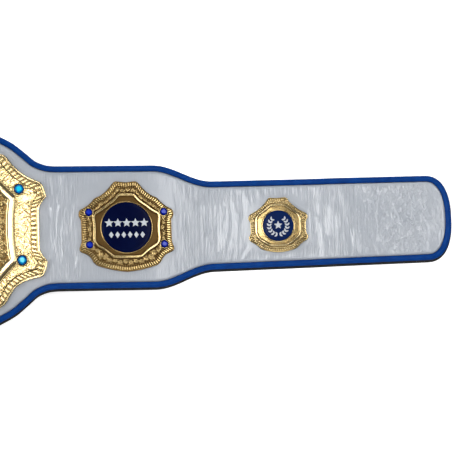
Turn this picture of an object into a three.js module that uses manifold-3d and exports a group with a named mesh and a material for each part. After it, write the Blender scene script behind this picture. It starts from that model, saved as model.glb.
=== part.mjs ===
import * as THREE from "three";
import Module from "manifold-3d";

// A championship title belt that lies on its back. X runs along the belt, Y across it, Z up.
// Millimetres. The origin is on the floor under the middle of the main plate.
// "s" is a length along the belt's underside from its middle, "y" a length across it and "h" a
// height square to the underside. place(s, y, h) lays such a point on the bent belt.

const wasm = await Module();
wasm.setup();

// Clearances
const fit = 0.3; // between pieces that lie against each other

// Leather
const backThickness = 2.5;
const frontThickness = 3;
const frontEdgeDrop = 0.9; // how far the front panel's edge rolls down beside the piping
const mainHeight = 276; // across the belt at its middle
const sideHeight = 156.5; // across it at the inner plates
const neckHeight = 113.5; // across it where the taper past the inner plates ends
const endHeight = 108.5; // across it at the ends
const endRound = 33; // length of the rounded end
const endPower = 2.4; // squareness of the rounded end, 2 is an ellipse
const tail = 183; // from the outer plate to the end
const backMargin = 0.5; // the backing shows this far outside the piping
const backMarginBelow = 2.6; // and this far past the belt's lower edge
const panelRows = [-1, -0.93, -0.5, 0, 0.5, 0.93, 1]; // the front's points, as shares of half its height

// Piping
const pipingWidth = 7.4;
const pipingHeight = 5.4;
const pipingSides = 6; // corners of its section

// Places of the plates
const gapMainToInner = 40.5;
const gapInnerToOuter = 97;
const discDrop = 1.3; // the discs sit this far below the plates' middle

// The belt's arch
const slopeAtMainPlate = 9; // degrees
const slopeAtFoot = 11; // degrees
const flankPastInner = 10; // the slope goes on this far past the inner plate
const footRun = 60; // length of the hollow curve down to the floor

// Closure
const patchThickness = 2;
const patchLength = 120;
const patchWidth = 74;
const patchFromEnd = 22;
const patchCorner = 6;
const liftRun = 20; // each half of the curve that lifts the right end onto its patch

// Stones
const mainStone = { diameter: 11.4, height: 4.6, facets: 10, depth: 1.8 };
const innerStone = { diameter: 8.8, height: 3.6, facets: 8, depth: 1.2 };
const stoneFoot = 0.6; // a stone's foot, girdle height and table, as shares of its radius and height
const stoneGirdle = 0.48;
const stoneTable = 0.62;
const discBevel = 0.4;
const seatRings = [0.66, 0.33]; // a big disc follows the bend in rings, at these shares of its radius
const pocketSides = 12;

// Plates. "drop" is how far a plate sits below the belt's middle line, "seat" the height of its
// disc's seat over its back, "crown" how far its middle rises and "thickness" that of its frame.
// "border" is the width of its rim with its teeth, "ridge" half that of its frame and "bezel" that
// of the ring round its disc. In the relief "of" says what a ring of points follows. "out" is the
// way outwards from there, as a share of the border, the ridge or the bezel, and "height" the
// height over the plate's back, as a share of its thickness. "valley" is that between two teeth.
const mainPlate = {
  width: 271,
  height: 238,
  drop: 2,
  disc: 132,
  discThickness: 1.6,
  seat: 2.4,
  crown: 0,
  thickness: 5.4,
  border: 11,
  ridge: 5,
  bezel: 3,
  toothPitch: 6.5,
  backRings: 4,
  sides: 30,
  relief: [
    { of: "edge", out: 0, height: 0.72 },
    { of: "edge", out: -0.25, height: 0.74 },
    { of: "teeth", out: -0.31, height: 0.8, valley: 0.5 },
    { of: "teeth", out: -0.89, height: 0.76, valley: 0.5 },
    { of: "edge", out: -1, height: 0.61 },
    { of: "frame", out: 1, height: 0.61 },
    { of: "frame", out: 0.44, height: 1 },
    { of: "frame", out: -0.44, height: 1 },
    { of: "frame", out: -1, height: 0.65 },
    { of: "disc", out: 1, height: 0.74 },
    { of: "disc", out: 0.8, height: 0.93 },
    { of: "disc", out: 0.13, height: 0.93 },
  ],
};
const innerPlate = {
  width: 121,
  height: 116,
  drop: 0,
  disc: 64,
  discThickness: 1.5,
  seat: 1.4,
  crown: 0.8,
  thickness: 4.1,
  border: 2.1,
  ridge: 2.6,
  bezel: 1.9,
  toothPitch: 0,
  backRings: 1,
  sides: 28,
  relief: [
    { of: "edge", out: 0, height: 0.68 },
    { of: "edge", out: -0.76, height: 0.68 },
    { of: "edge", out: -1, height: 0.54 },
    { of: "frame", out: 1, height: 0.58 },
    { of: "frame", out: 0, height: 1 },
    { of: "frame", out: -0.92, height: 0.51 },
    { of: "disc", out: 1, height: 0.54 },
    { of: "disc", out: 0.79, height: 0.73 },
    { of: "disc", out: 0.16, height: 0.73 },
  ],
};
const outerPlate = {
  width: 76,
  height: 70.5,
  drop: 2.3,
  disc: 39,
  discThickness: 1.3,
  seat: 1.2,
  crown: 0.7,
  thickness: 3.2,
  border: 1.8,
  ridge: 1.8,
  bezel: 1.2,
  toothPitch: 0,
  backRings: 1,
  sides: 24,
  relief: [
    { of: "edge", out: 0, height: 0.72 },
    { of: "edge", out: -0.78, height: 0.72 },
    { of: "edge", out: -1, height: 0.59 },
    { of: "frame", out: 0.9, height: 0.66 },
    { of: "frame", out: 0, height: 1 },
    { of: "frame", out: -1, height: 0.62 },
    { of: "disc", out: 1, height: 0.81 },
    { of: "disc", out: 0.25, height: 0.81 },
  ],
};

// Outlines of the right half of each plate, from the top round to the bottom. x and y are shares of
// half the width and half the height. bow is how far the way to the next point bows out of the
// straight line, as a share of its length, and minus bows in.
const mainEdge = [
  { x: 0, y: 0.97, bow: 0 },
  { x: 0.25, y: 1, bow: 0 },
  { x: 0.3, y: 0.97, bow: -0.07 },
  { x: 0.46, y: 0.845, bow: -0.02 },
  { x: 0.61, y: 0.805, bow: 0.05 },
  { x: 0.65, y: 0.77, bow: -0.08 },
  { x: 0.89, y: 0.53, bow: 0 },
  { x: 0.953, y: 0.5, bow: 0.06 },
  { x: 1, y: 0.34, bow: -0.05 },
  { x: 0.93, y: 0.22, bow: 0 },
  { x: 0.93, y: -0.22, bow: -0.05 },
  { x: 1, y: -0.34, bow: 0.06 },
  { x: 0.953, y: -0.505, bow: 0 },
  { x: 0.86, y: -0.53, bow: -0.07 },
  { x: 0.69, y: -0.63, bow: 0 },
  { x: 0.625, y: -0.755, bow: 0.1 },
  { x: 0.53, y: -0.84, bow: 0.02 },
  { x: 0.46, y: -0.855, bow: -0.07 },
  { x: 0.3, y: -0.97, bow: 0 },
  { x: 0.25, y: -1, bow: 0 },
  { x: 0, y: -0.97, bow: 0 },
];
const mainFrame = [
  { x: 0, y: 0.7, bow: 0 },
  { x: 0.28, y: 0.7, bow: -0.06 },
  { x: 0.52, y: 0.53, bow: -0.03 },
  { x: 0.68, y: 0.33, bow: -0.04 },
  { x: 0.68, y: -0.33, bow: -0.03 },
  { x: 0.52, y: -0.53, bow: -0.06 },
  { x: 0.28, y: -0.7, bow: 0 },
  { x: 0, y: -0.7, bow: 0 },
];
const innerEdge = [
  { x: 0, y: 0.975, bow: 0 },
  { x: 0.21, y: 1, bow: 0.05 },
  { x: 0.29, y: 0.94, bow: -0.06 },
  { x: 0.57, y: 0.665, bow: 0.04 },
  { x: 0.67, y: 0.62, bow: -0.06 },
  { x: 0.92, y: 0.4, bow: 0.05 },
  { x: 0.985, y: 0.36, bow: 0.05 },
  { x: 1, y: 0.23, bow: -0.04 },
  { x: 0.952, y: 0.14, bow: 0 },
  { x: 0.952, y: -0.32, bow: -0.04 },
  { x: 1, y: -0.47, bow: 0.1 },
  { x: 0.97, y: -0.56, bow: -0.05 },
  { x: 0.815, y: -0.635, bow: -0.08 },
  { x: 0.72, y: -0.77, bow: 0.06 },
  { x: 0.625, y: -0.86, bow: 0.03 },
  { x: 0, y: -1, bow: 0 },
];
const innerFrame = [
  { x: 0, y: 0.7, bow: 0 },
  { x: 0.16, y: 0.7, bow: -0.06 },
  { x: 0.43, y: 0.45, bow: -0.04 },
  { x: 0.66, y: 0.29, bow: 0.1 },
  { x: 0.7, y: 0.2, bow: -0.04 },
  { x: 0.69, y: -0.25, bow: 0.1 },
  { x: 0.61, y: -0.42, bow: -0.04 },
  { x: 0.3, y: -0.66, bow: 0.02 },
  { x: 0, y: -0.67, bow: 0 },
];
const outerEdge = [
  { x: 0, y: 0.98, bow: 0 },
  { x: 0.28, y: 1, bow: 0.05 },
  { x: 0.36, y: 0.9, bow: -0.04 },
  { x: 0.56, y: 0.67, bow: -0.04 },
  { x: 0.88, y: 0.44, bow: 0.05 },
  { x: 0.975, y: 0.37, bow: 0.05 },
  { x: 1, y: 0.22, bow: -0.04 },
  { x: 0.93, y: 0.1, bow: 0 },
  { x: 0.93, y: -0.3, bow: -0.04 },
  { x: 1, y: -0.42, bow: 0.08 },
  { x: 0.945, y: -0.59, bow: -0.04 },
  { x: 0.755, y: -0.71, bow: -0.06 },
  { x: 0.64, y: -0.84, bow: 0.04 },
  { x: 0.4, y: -0.94, bow: 0.03 },
  { x: 0, y: -1, bow: 0 },
];
const outerFrame = [
  { x: 0, y: 0.74, bow: 0 },
  { x: 0.24, y: 0.72, bow: -0.02 },
  { x: 0.62, y: 0.42, bow: 0.08 },
  { x: 0.74, y: 0.2, bow: 0 },
  { x: 0.74, y: -0.26, bow: 0.08 },
  { x: 0.6, y: -0.53, bow: 0.02 },
  { x: 0.28, y: -0.74, bow: 0 },
  { x: 0, y: -0.76, bow: 0 },
];

// Stones of each plate: x and y as shares of half the plate's width and height
const mainStones = [
  { x: 0.75, y: 0.43 },
  { x: -0.75, y: 0.43 },
  { x: -0.765, y: -0.33 },
  { x: 0.765, y: -0.33 },
];
const innerStones = [
  { x: 0.79, y: 0.315 },
  { x: -0.79, y: 0.315 },
  { x: -0.79, y: -0.4 },
  { x: 0.79, y: -0.4 },
];

// The bulge of the belt round the main plate: "at" as a share of its length from the middle and
// "rise" as a share of what the middle stands out over the inner plates' height
const bulge = [
  { at: 0, rise: 1 },
  { at: 0.17, rise: 0.965 },
  { at: 0.34, rise: 0.86 },
  { at: 0.5, rise: 0.68 },
  { at: 0.63, rise: 0.5 },
  { at: 0.73, rise: 0.295 },
  { at: 0.83, rise: 0.09 },
  { at: 0.93, rise: 0.01 },
  { at: 1, rise: 0 },
];

// Main folds of the front panel: "from" names the gap that it is in, "at" a share of that gap,
// "low" and "high" its ends as shares of half the belt's height there, "lean" its slant
const foldWidth = 9;
const foldDepth = 0.7;
const foldFade = 0.3; // share of half the belt's height over which a fold runs out
const leastStep = 1; // between two cross-sections of the front panel
const folds = [
  { gap: "main to inner", at: 0.5, depth: 1, low: -0.9, high: 0.6, lean: 0.03 },
  { gap: "inner to outer", at: 0.3, depth: 0.9, low: -0.8, high: 0.7, lean: 0.05 },
  { gap: "inner to outer", at: 0.68, depth: 1, low: -0.5, high: 0.9, lean: -0.05 },
  { gap: "outer to end", at: 0.14, depth: 0.9, low: -0.8, high: 0.6, lean: 0.05 },
  { gap: "outer to end", at: 0.32, depth: 1, low: -0.6, high: 0.9, lean: 0.1 },
  { gap: "outer to end", at: 0.54, depth: 0.8, low: -0.9, high: 0.4, lean: 0.14 },
];

// Places along the belt that follow from the sizes
const mainReach = mainPlate.width / 2;
const innerStart = mainReach + gapMainToInner;
const innerMiddle = innerStart + innerPlate.width / 2;
const innerEnd = innerStart + innerPlate.width;
const outerStart = innerEnd + gapInnerToOuter;
const outerMiddle = outerStart + outerPlate.width / 2;
const outerEnd = outerStart + outerPlate.width;
const beltEnd = outerEnd + tail;
const bulgeReach = mainReach + gapMainToInner * 0.38;
const taperStart = innerEnd - gapInnerToOuter * 0.26;
const taperEnd = innerEnd + gapInnerToOuter * 0.55;
const frontTop = backThickness + fit + frontThickness;
const gaps = {
  "main to inner": { start: mainReach, length: gapMainToInner },
  "inner to outer": { start: innerEnd, length: gapInnerToOuter },
  "outer to end": { start: outerEnd, length: tail },
};

// The underside from the middle outwards: each stretch is an arc or, with no turn, a straight
const degree = Math.PI / 180;
const liftTurn = (patchThickness + fit) / liftRun;
const archStretches = [
  { run: mainReach, turn: -slopeAtMainPlate * degree },
  { run: innerEnd + flankPastInner - mainReach, turn: -(slopeAtFoot - slopeAtMainPlate) * degree },
  { run: footRun, turn: slopeAtFoot * degree },
];
const archRun = archStretches.reduce((sum, stretch) => sum + stretch.run, 0);
const patchEnd = beltEnd - patchFromEnd;
const liftStart = patchEnd - patchLength - 2 * liftRun;
const liftStretches = [
  { run: liftStart - archRun, turn: 0 },
  { run: liftRun, turn: liftTurn },
  { run: liftRun, turn: -liftTurn },
];

function walk(stretches, s) {
  let left = s;
  const at = { x: 0, z: 0, heading: 0 };
  for (const stretch of [...stretches, { run: Infinity, turn: 0 }]) {
    const run = Math.min(left, stretch.run);
    const turn = stretch.turn ? (stretch.turn * run) / stretch.run : 0;
    if (turn) {
      const radius = run / turn;
      at.x += radius * (Math.sin(at.heading + turn) - Math.sin(at.heading));
      at.z += radius * (Math.cos(at.heading) - Math.cos(at.heading + turn));
    } else {
      at.x += run * Math.cos(at.heading);
      at.z += run * Math.sin(at.heading);
    }
    at.heading += turn;
    left -= run;
    if (left <= 0) break;
  }
  return at;
}

const archHeight = -walk(archStretches, archRun).z;

// Goes from 0 to 1 with level ends
function ease(t) {
  const share = Math.min(1, Math.max(0, t));
  return (1 - Math.cos(Math.PI * share)) / 2;
}

function spot(s) {
  const side = s < 0 ? -1 : 1;
  const stretches = s < 0 ? archStretches : [...archStretches, ...liftStretches];
  const at = walk(stretches, Math.abs(s));
  return { x: side * at.x, z: at.z + archHeight, heading: side * at.heading };
}

function place(s, y, h) {
  const at = spot(s);
  return [at.x - h * Math.sin(at.heading), y, at.z + h * Math.cos(at.heading)];
}

// Curves

// A smooth curve through a table's rows that never overshoots them
function through(rows, key, value, at) {
  const last = rows.length - 1;
  if (at >= rows[last][key]) return rows[last][value];
  const i = Math.max(0, rows.findIndex((row) => row[key] > at) - 1);
  const step = (k) => (rows[k + 1][value] - rows[k][value]) / (rows[k + 1][key] - rows[k][key]);
  const slope = (k) => {
    if (k <= 0 || k >= last) return 0;
    const product = step(k - 1) * step(k);
    return product > 0 ? (2 * product) / (step(k - 1) + step(k)) : 0;
  };
  const width = rows[i + 1][key] - rows[i][key];
  const t = (at - rows[i][key]) / width;
  const rise = rows[i + 1][value] - rows[i][value];
  const bend = (slope(i) * (1 - t) - slope(i + 1) * t) * width + rise * (2 * t - 1);
  return rows[i][value] + rise * t + t * (1 - t) * bend;
}

// Half the belt's height at s, with the rounded end left out
function halfHeight(s) {
  const main = (mainHeight - sideHeight) * through(bulge, "at", "rise", s / bulgeReach);
  const taper = (sideHeight - neckHeight) * ease((taperEnd - s) / (taperEnd - taperStart));
  const along = (s - taperEnd) / (beltEnd - endRound - taperEnd);
  const narrowing = (neckHeight - endHeight) * Math.min(1, Math.max(0, along));
  return (neckHeight - narrowing + taper + main) / 2;
}

// The belt's edge in its upper right quarter, from the middle to the end, with the way inwards
function edgePoint(s) {
  const small = 0.01;
  const slope = (halfHeight(s + small) - halfHeight(Math.abs(s - small))) / (2 * small);
  const length = Math.hypot(slope, 1);
  return { s, y: halfHeight(s), inS: slope / length, inY: -1 / length };
}

function endPoint(angle) {
  const x = Math.cos(angle) ** (2 / endPower);
  const y = Math.sin(angle) ** (2 / endPower);
  const normalS = x ** (endPower - 1) / endRound;
  const normalY = y ** (endPower - 1) / (endHeight / 2);
  const length = Math.hypot(normalS, normalY);
  return {
    s: beltEnd - endRound + endRound * x,
    y: (endHeight / 2) * y,
    inS: -normalS / length,
    inY: -normalY / length,
  };
}

// Stations along the quarter: even steps between the places where the belt's form changes
function stations() {
  const marks = [
    { to: bulgeReach, steps: 10 },
    { to: taperStart, steps: 4 },
    { to: taperEnd, steps: 6 },
    { to: liftStart, steps: 4 },
    { to: liftStart + 2 * liftRun, steps: 2 },
    { to: beltEnd - endRound, steps: 2 },
  ];
  const list = [];
  let from = 0;
  for (const mark of marks) {
    for (let i = 0; i < mark.steps; i += 1) list.push(from + ((mark.to - from) * i) / mark.steps);
    from = mark.to;
  }
  return list;
}

const endAngles = [90, 66, 48, 33, 20, 8].map((angle) => angle * degree);
const quarter = [...stations().map(edgePoint), ...endAngles.map(endPoint)];

// The upper edge moved inwards, from the left end to the right one
function upperEdge(inset, marks = quarter) {
  const right = marks.map((point) => ({ s: point.s + point.inS * inset, y: point.y + point.inY * inset }));
  const left = right.slice(1).reverse().map((point) => ({ s: -point.s, y: point.y }));
  return [...left, ...right];
}

// Meshes

// A closed shell from loops of points: each loop is joined to the next one
class Shell {
  constructor() {
    this.points = [];
    this.faces = [];
  }

  loop(points) {
    const first = this.points.length;
    this.points.push(...points);
    return points.map((_, i) => first + i);
  }

  band(a, b) {
    for (let i = 0; i < a.length; i += 1) {
      const j = (i + 1) % a.length;
      this.faces.push([a[i], a[j], b[j]], [a[i], b[j], b[i]]);
    }
  }

  // Joins two loops with different numbers of points by the angle that each point is at
  zip(a, anglesA, b, anglesB) {
    const turn = 2 * Math.PI;
    const at = (angles, i) => angles[i % angles.length] + turn * Math.floor(i / angles.length);
    let i = 0;
    let j = 0;
    while (i < a.length || j < b.length) {
      const takeA = j >= b.length || (i < a.length && at(anglesA, i + 1) <= at(anglesB, j + 1));
      const pair = [a[i % a.length], b[j % b.length]];
      if (takeA) this.faces.push([pair[0], a[(i + 1) % a.length], pair[1]]);
      else this.faces.push([pair[0], b[(j + 1) % b.length], pair[1]]);
      if (takeA) i += 1;
      else j += 1;
    }
  }

  fan(centre, loop, flipped = false) {
    const [middle] = this.loop([centre]);
    for (let i = 0; i < loop.length; i += 1) {
      const j = (i + 1) % loop.length;
      this.faces.push(flipped ? [middle, loop[j], loop[i]] : [middle, loop[i], loop[j]]);
    }
  }

  geometry(mirrored = false) {
    const geometry = new THREE.BufferGeometry();
    const sign = mirrored ? -1 : 1;
    const flat = this.points.flatMap(([x, y, z]) => [sign * x, y, z]);
    geometry.setAttribute("position", new THREE.Float32BufferAttribute(flat, 3));
    geometry.setIndex(this.faces.flatMap(([a, b, c]) => (mirrored ? [a, c, b] : [a, b, c])));
    geometry.computeVertexNormals();
    return geometry;
  }
}

function toSolid(geometry) {
  const vertProperties = new Float32Array(geometry.attributes.position.array);
  const triVerts = new Uint32Array(geometry.index.array);
  const mesh = new wasm.Mesh({ numProp: 3, vertProperties, triVerts });
  mesh.merge();
  return new wasm.Manifold(mesh);
}

function fromSolid(solid) {
  const { vertProperties, triVerts } = solid.getMesh();
  const geometry = new THREE.BufferGeometry();
  geometry.setAttribute("position", new THREE.BufferAttribute(new Float32Array(vertProperties), 3));
  geometry.setIndex(new THREE.BufferAttribute(new Uint32Array(triVerts), 1));
  geometry.computeVertexNormals();
  return geometry;
}

// A strap lofted through cross-sections, each a list of y and h, closed by a face at each end
function loft(edge, section) {
  const shell = new Shell();
  const loops = edge.map(({ s, y }) => shell.loop(section(s, y).map((p) => place(s, p.y, p.h))));
  for (let i = 1; i < loops.length; i += 1) shell.band(loops[i - 1], loops[i]);
  const cap = (edgePoint, loop, flipped) => {
    const corners = section(edgePoint.s, edgePoint.y);
    const middleY = 0;
    const middleH = corners.reduce((sum, p) => sum + p.h, 0) / corners.length;
    shell.fan(place(edgePoint.s, middleY, middleH), loop, flipped);
  };
  cap(edge[0], loops[0], true);
  cap(edge[edge.length - 1], loops[loops.length - 1], false);
  return shell.geometry();
}

// Leather

function strapBack() {
  const section = (s, y) => {
    const low = backMargin - backMarginBelow - y;
    return [
      { y: low, h: 0 },
      { y, h: 0 },
      { y, h: backThickness },
      { y: low, h: backThickness },
    ];
  };
  return loft(upperEdge(-backMargin), section);
}

// How far a fold lowers the front panel at s and at "across", a share of half its height
function foldAt(s, across) {
  let drop = 0;
  for (const fold of folds) {
    const gap = gaps[fold.gap];
    const middle = gap.start + gap.length * fold.at + fold.lean * across * halfHeight(Math.abs(s));
    const near = Math.max(0, 1 - Math.abs(Math.abs(s) - middle) / foldWidth);
    const length = ease((across - fold.low) / foldFade) * ease((fold.high - across) / foldFade);
    drop = Math.max(drop, near * length * fold.depth * foldDepth);
  }
  return underPatch(s) ? 0 : drop;
}

// The panel stays flat under the loop patch and half a fold past it
function underPatch(s) {
  return s < patchLength - patchEnd + foldWidth / 2;
}

function strapFront() {
  const inset = pipingWidth + fit;
  const section = (s, y) => {
    const top = panelRows.map((share) => {
      const drop = Math.abs(share) === 1 ? frontEdgeDrop : foldAt(s, share);
      return { y: y * share, h: frontTop - drop };
    });
    const low = frontTop - frontThickness;
    return [{ y: -y, h: low }, { y, h: low }, ...top.reverse()];
  };
  const foldMarks = folds.flatMap((fold) => {
    const middle = gaps[fold.gap].start + gaps[fold.gap].length * fold.at;
    return [middle - foldWidth, middle, middle + foldWidth].map(edgePoint);
  });
  const apart = (a, b) => Math.abs(a.s - b.s) > leastStep;
  const kept = quarter.filter((point) => foldMarks.every((mark) => apart(mark, point)));
  const marks = [...kept, ...foldMarks].sort((a, b) => a.s - b.s);
  const rounded = (point) => point.s > beltEnd - endRound;
  const clear = marks.filter((point, i) => i === 0 || apart(point, marks[i - 1]) || rounded(point));
  return loft(upperEdge(inset, clear), section);
}

// The piping is swept round the whole edge, on the backing
function piping() {
  const upper = quarter.filter((_, i) => i > 0);
  const turnOver = (p, sign) => ({ s: sign * p.s, y: p.y, inS: sign * p.inS, inY: p.inY });
  const across = (p) => ({ ...p, y: -p.y, inY: -p.inY });
  const endMiddle = { s: beltEnd, y: 0, inS: -1, inY: 0 };
  const right = [quarter[0], ...upper, endMiddle];
  const down = [...right.slice(0, -1).reverse().map(across)];
  const half = [...right, ...down];
  const left = half.slice(1, -1).reverse().map((p) => turnOver(p, -1));
  const path = [...half, ...left];
  const middle = backThickness + fit + pipingHeight / 2;
  const shell = new Shell();
  const loops = path.map((p) => {
    const ring = [];
    for (let i = 0; i < pipingSides; i += 1) {
      const angle = (i * 2 * Math.PI) / pipingSides;
      const inwards = pipingWidth / 2 + (pipingWidth / 2) * Math.cos(angle);
      const h = middle + ((pipingHeight / 2) * Math.sin(angle)) / Math.cos(Math.PI / pipingSides);
      ring.push(place(p.s + p.inS * inwards, p.y + p.inY * inwards, h));
    }
    return shell.loop(ring);
  });
  loops.forEach((loop, i) => shell.band(loops[(i + 1) % loops.length], loop));
  return shell.geometry();
}

// Plates

const outlineStep = 0.125; // longest step along an outline, as a share of the plate's width
const nearlyNothing = 1e-9;

// Turns a table of half an outline into a closed loop of points, both halves, in millimetres
function outlineLoop(rows, width, height, spacing) {
  const half = [];
  for (let i = 0; i + 1 < rows.length; i += 1) {
    const a = new THREE.Vector2((rows[i].x * width) / 2, (rows[i].y * height) / 2);
    const b = new THREE.Vector2((rows[i + 1].x * width) / 2, (rows[i + 1].y * height) / 2);
    const way = b.clone().sub(a);
    const outwards = new THREE.Vector2(-way.y, way.x);
    const steps = Math.max(1, Math.round(way.length() / spacing));
    for (let k = 0; k < steps; k += 1) {
      const t = k / steps;
      const bow = 4 * t * (1 - t) * rows[i].bow;
      half.push(a.clone().addScaledVector(way, t).addScaledVector(outwards, bow));
    }
  }
  const last = rows[rows.length - 1];
  const bottom = new THREE.Vector2(last.x, (last.y * height) / 2);
  const mirrored = half.slice(1).reverse().map((p) => new THREE.Vector2(-p.x, p.y));
  return [...half, bottom, ...mirrored].reverse();
}

// Points round a loop at even lengths, for the teeth
function evenly(loop, count) {
  const lengths = [0];
  for (let i = 0; i < loop.length; i += 1) {
    lengths.push(lengths[i] + loop[i].distanceTo(loop[(i + 1) % loop.length]));
  }
  const total = lengths[loop.length];
  const points = [];
  let i = 0;
  for (let k = 0; k < count; k += 1) {
    const target = (total * k) / count;
    while (lengths[i + 1] < target) i += 1;
    const t = (target - lengths[i]) / (lengths[i + 1] - lengths[i]);
    points.push(loop[i].clone().lerp(loop[(i + 1) % loop.length], t));
  }
  return points;
}

function loopLength(loop) {
  return loop.reduce((sum, p, i) => sum + p.distanceTo(loop[(i + 1) % loop.length]), 0);
}

// Where the ray from the disc's middle at an angle meets a loop
function reach(loop, centre, angle) {
  const ray = new THREE.Vector2(Math.cos(angle), Math.sin(angle));
  let best = 0;
  for (let i = 0; i < loop.length; i += 1) {
    const a = loop[i].clone().sub(centre);
    const way = loop[(i + 1) % loop.length].clone().sub(centre).sub(a);
    const cross = ray.x * way.y - ray.y * way.x;
    if (Math.abs(cross) < nearlyNothing) continue;
    const along = (a.x * way.y - a.y * way.x) / cross;
    const t = (a.x * ray.y - a.y * ray.x) / cross;
    if (t >= -nearlyNothing && t <= 1 + nearlyNothing && along > best) best = along;
  }
  return best;
}

function anglesOf(loop, centre) {
  const angles = loop.map((p) => Math.atan2(p.y - centre.y, p.x - centre.x));
  const order = angles.map((angle, i) => ({ angle, i })).sort((a, b) => a.angle - b.angle);
  return order.map(({ angle }) => angle);
}

function roundAngles(sides) {
  return Array.from({ length: sides }, (_, i) => -Math.PI + ((i + 0.5) * 2 * Math.PI) / sides);
}

// The plate's rings of points, each with its angles, from its back to the seat of its disc
function plateShell(spec, edgeRows, frameRows, at) {
  const centre = new THREE.Vector2(0, -discDrop);
  const edge = outlineLoop(edgeRows, spec.width, spec.height, spec.width * outlineStep);
  const frame = outlineLoop(frameRows, spec.width, spec.height, spec.width * outlineStep);
  const shell = new Shell();
  const evenAngles = roundAngles(spec.sides);
  const edgeAngles = anglesOf(edge, centre);
  const teeth = spec.toothPitch ? 2 * Math.round(loopLength(edge) / spec.toothPitch) : 0;
  const toothAngles = teeth ? anglesOf(evenly(edge, teeth), centre) : [];
  const base = frontTop + fit;
  const radius = spec.disc / 2;
  const radii = {
    edge: (angle) => reach(edge, centre, angle),
    teeth: (angle) => reach(edge, centre, angle),
    frame: (angle) => reach(frame, centre, angle),
    disc: () => radius + fit,
  };
  const ring = (angles, length, height) => {
    const points = angles.map((angle, i) => {
      const r = length(angle);
      const x = centre.x + r * Math.cos(angle);
      const y = centre.y + r * Math.sin(angle) - spec.drop;
      const crown = spec.crown * Math.max(0, 1 - (r / radii.edge(angle)) ** 2);
      const h = height(i);
      return place(at + x, y, base + h + (h > spec.seat ? crown : 0));
    });
    return { loop: shell.loop(points), angles };
  };
  const join = (outer, inner) => shell.zip(outer.loop, outer.angles, inner.loop, inner.angles);

  let previous = null;
  for (let i = spec.backRings; i > 0; i -= 1) {
    const share = (spec.backRings - i + 1) / (spec.backRings + 1);
    const next = ring(evenAngles, (angle) => radii.edge(angle) * share, () => 0);
    if (previous) join(previous, next);
    else shell.fan(place(at + centre.x, centre.y - spec.drop, base), next.loop, true);
    previous = next;
  }
  const angleLists = { edge: edgeAngles, teeth: toothAngles, frame: edgeAngles, disc: evenAngles };
  const widths = { edge: spec.border, teeth: spec.border, frame: spec.ridge, disc: spec.bezel };
  const seatStep = { of: "disc", out: 0, height: spec.seat / spec.thickness };
  for (const step of [{ of: "edge", out: 0, height: 0 }, ...spec.relief, seatStep]) {
    const share = (i) => (step.of === "teeth" && i % 2 ? step.valley : step.height);
    const length = (angle) => radii[step.of](angle) + step.out * widths[step.of];
    const next = ring(angleLists[step.of], length, (i) => share(i) * spec.thickness);
    join(previous, next);
    previous = next;
  }
  for (const share of seatShares(spec)) {
    const next = ring(evenAngles, () => radius * share, () => spec.seat);
    join(previous, next);
    previous = next;
  }
  shell.fan(place(at + centre.x, centre.y - spec.drop, base + spec.seat), previous.loop);
  return shell;
}

// The seat and the disc follow the plate's bend in rings, so that they lie parallel
function seatShares(spec) {
  return spec.backRings > 2 ? seatRings : [];
}

function discShell(spec, at) {
  const shell = new Shell();
  const base = frontTop + fit + spec.seat + fit;
  const radius = spec.disc / 2;
  const middle = -discDrop - spec.drop;
  const ring = (r, h) => {
    const points = roundAngles(spec.sides).map((angle) => {
      return place(at + r * Math.cos(angle), r * Math.sin(angle) + middle, base + h);
    });
    return shell.loop(points);
  };
  const shares = seatShares(spec);
  const top = spec.discThickness;
  const rings = [
    ...[...shares].reverse().map((share) => ring(radius * share, 0)),
    ring(radius, 0),
    ring(radius, top - discBevel),
    ring(radius - discBevel, top),
    ...shares.map((share) => ring(radius * share, top)),
  ];
  shell.fan(place(at, middle, base), rings[0], true);
  for (let i = 1; i < rings.length; i += 1) shell.band(rings[i - 1], rings[i]);
  shell.fan(place(at, middle, base + top), rings[rings.length - 1]);
  return shell;
}

// Stones

// Places a turned shape, whose axis is Y, upright on the belt at s, y and h
function stand(geometry, s, y, h) {
  const at = spot(s);
  const [x, , z] = place(s, y, h);
  geometry.rotateX(Math.PI / 2);
  geometry.rotateY(-at.heading);
  geometry.translate(x, y, z);
  return geometry;
}

function turned(profile, sides) {
  const points = profile.map(([r, h]) => new THREE.Vector2(r, h));
  const shell = new Shell();
  const loops = points.slice(1, -1).map((p) => {
    const ring = Array.from({ length: sides }, (_, i) => {
      const angle = (2 * Math.PI * i) / sides;
      return [p.x * Math.cos(angle), p.y, -p.x * Math.sin(angle)];
    });
    return shell.loop(ring);
  });
  shell.fan([0, points[0].y, 0], loops[0], true);
  for (let i = 1; i < loops.length; i += 1) shell.band(loops[i - 1], loops[i]);
  shell.fan([0, points[points.length - 1].y, 0], loops[loops.length - 1]);
  return shell.geometry();
}

const pocketReach = 10; // the pockets' cutting tool goes on well past the plates' faces

// Height over the belt's underside at which a stone's pocket starts
function pocketFloor(stone) {
  return frontTop + fit + stone.depth;
}

function stoneGeometry(stone, s, y) {
  const radius = stone.diameter / 2;
  const height = stone.height;
  const profile = [
    [0, 0],
    [radius * stoneFoot, 0],
    [radius, height * stoneGirdle],
    [radius * stoneTable, height],
    [0, height],
  ];
  return stand(turned(profile, stone.facets), s, y, pocketFloor(stone) + fit);
}

function pocket(stone, s, y) {
  const radius = (stone.diameter / 2 + fit) / Math.cos(Math.PI / pocketSides);
  const profile = [
    [0, 0],
    [radius, 0],
    [radius, pocketReach],
    [0, pocketReach],
  ];
  return toSolid(stand(turned(profile, pocketSides), s, y, pocketFloor(stone)));
}

// Where a row of a plate's stones is on the belt; on a plate left of the middle x is turned over
function stonePlace(spec, row, at) {
  const side = at < 0 ? -1 : 1;
  return { s: at + (side * row.x * spec.width) / 2, y: (row.y * spec.height) / 2 - spec.drop };
}

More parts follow.
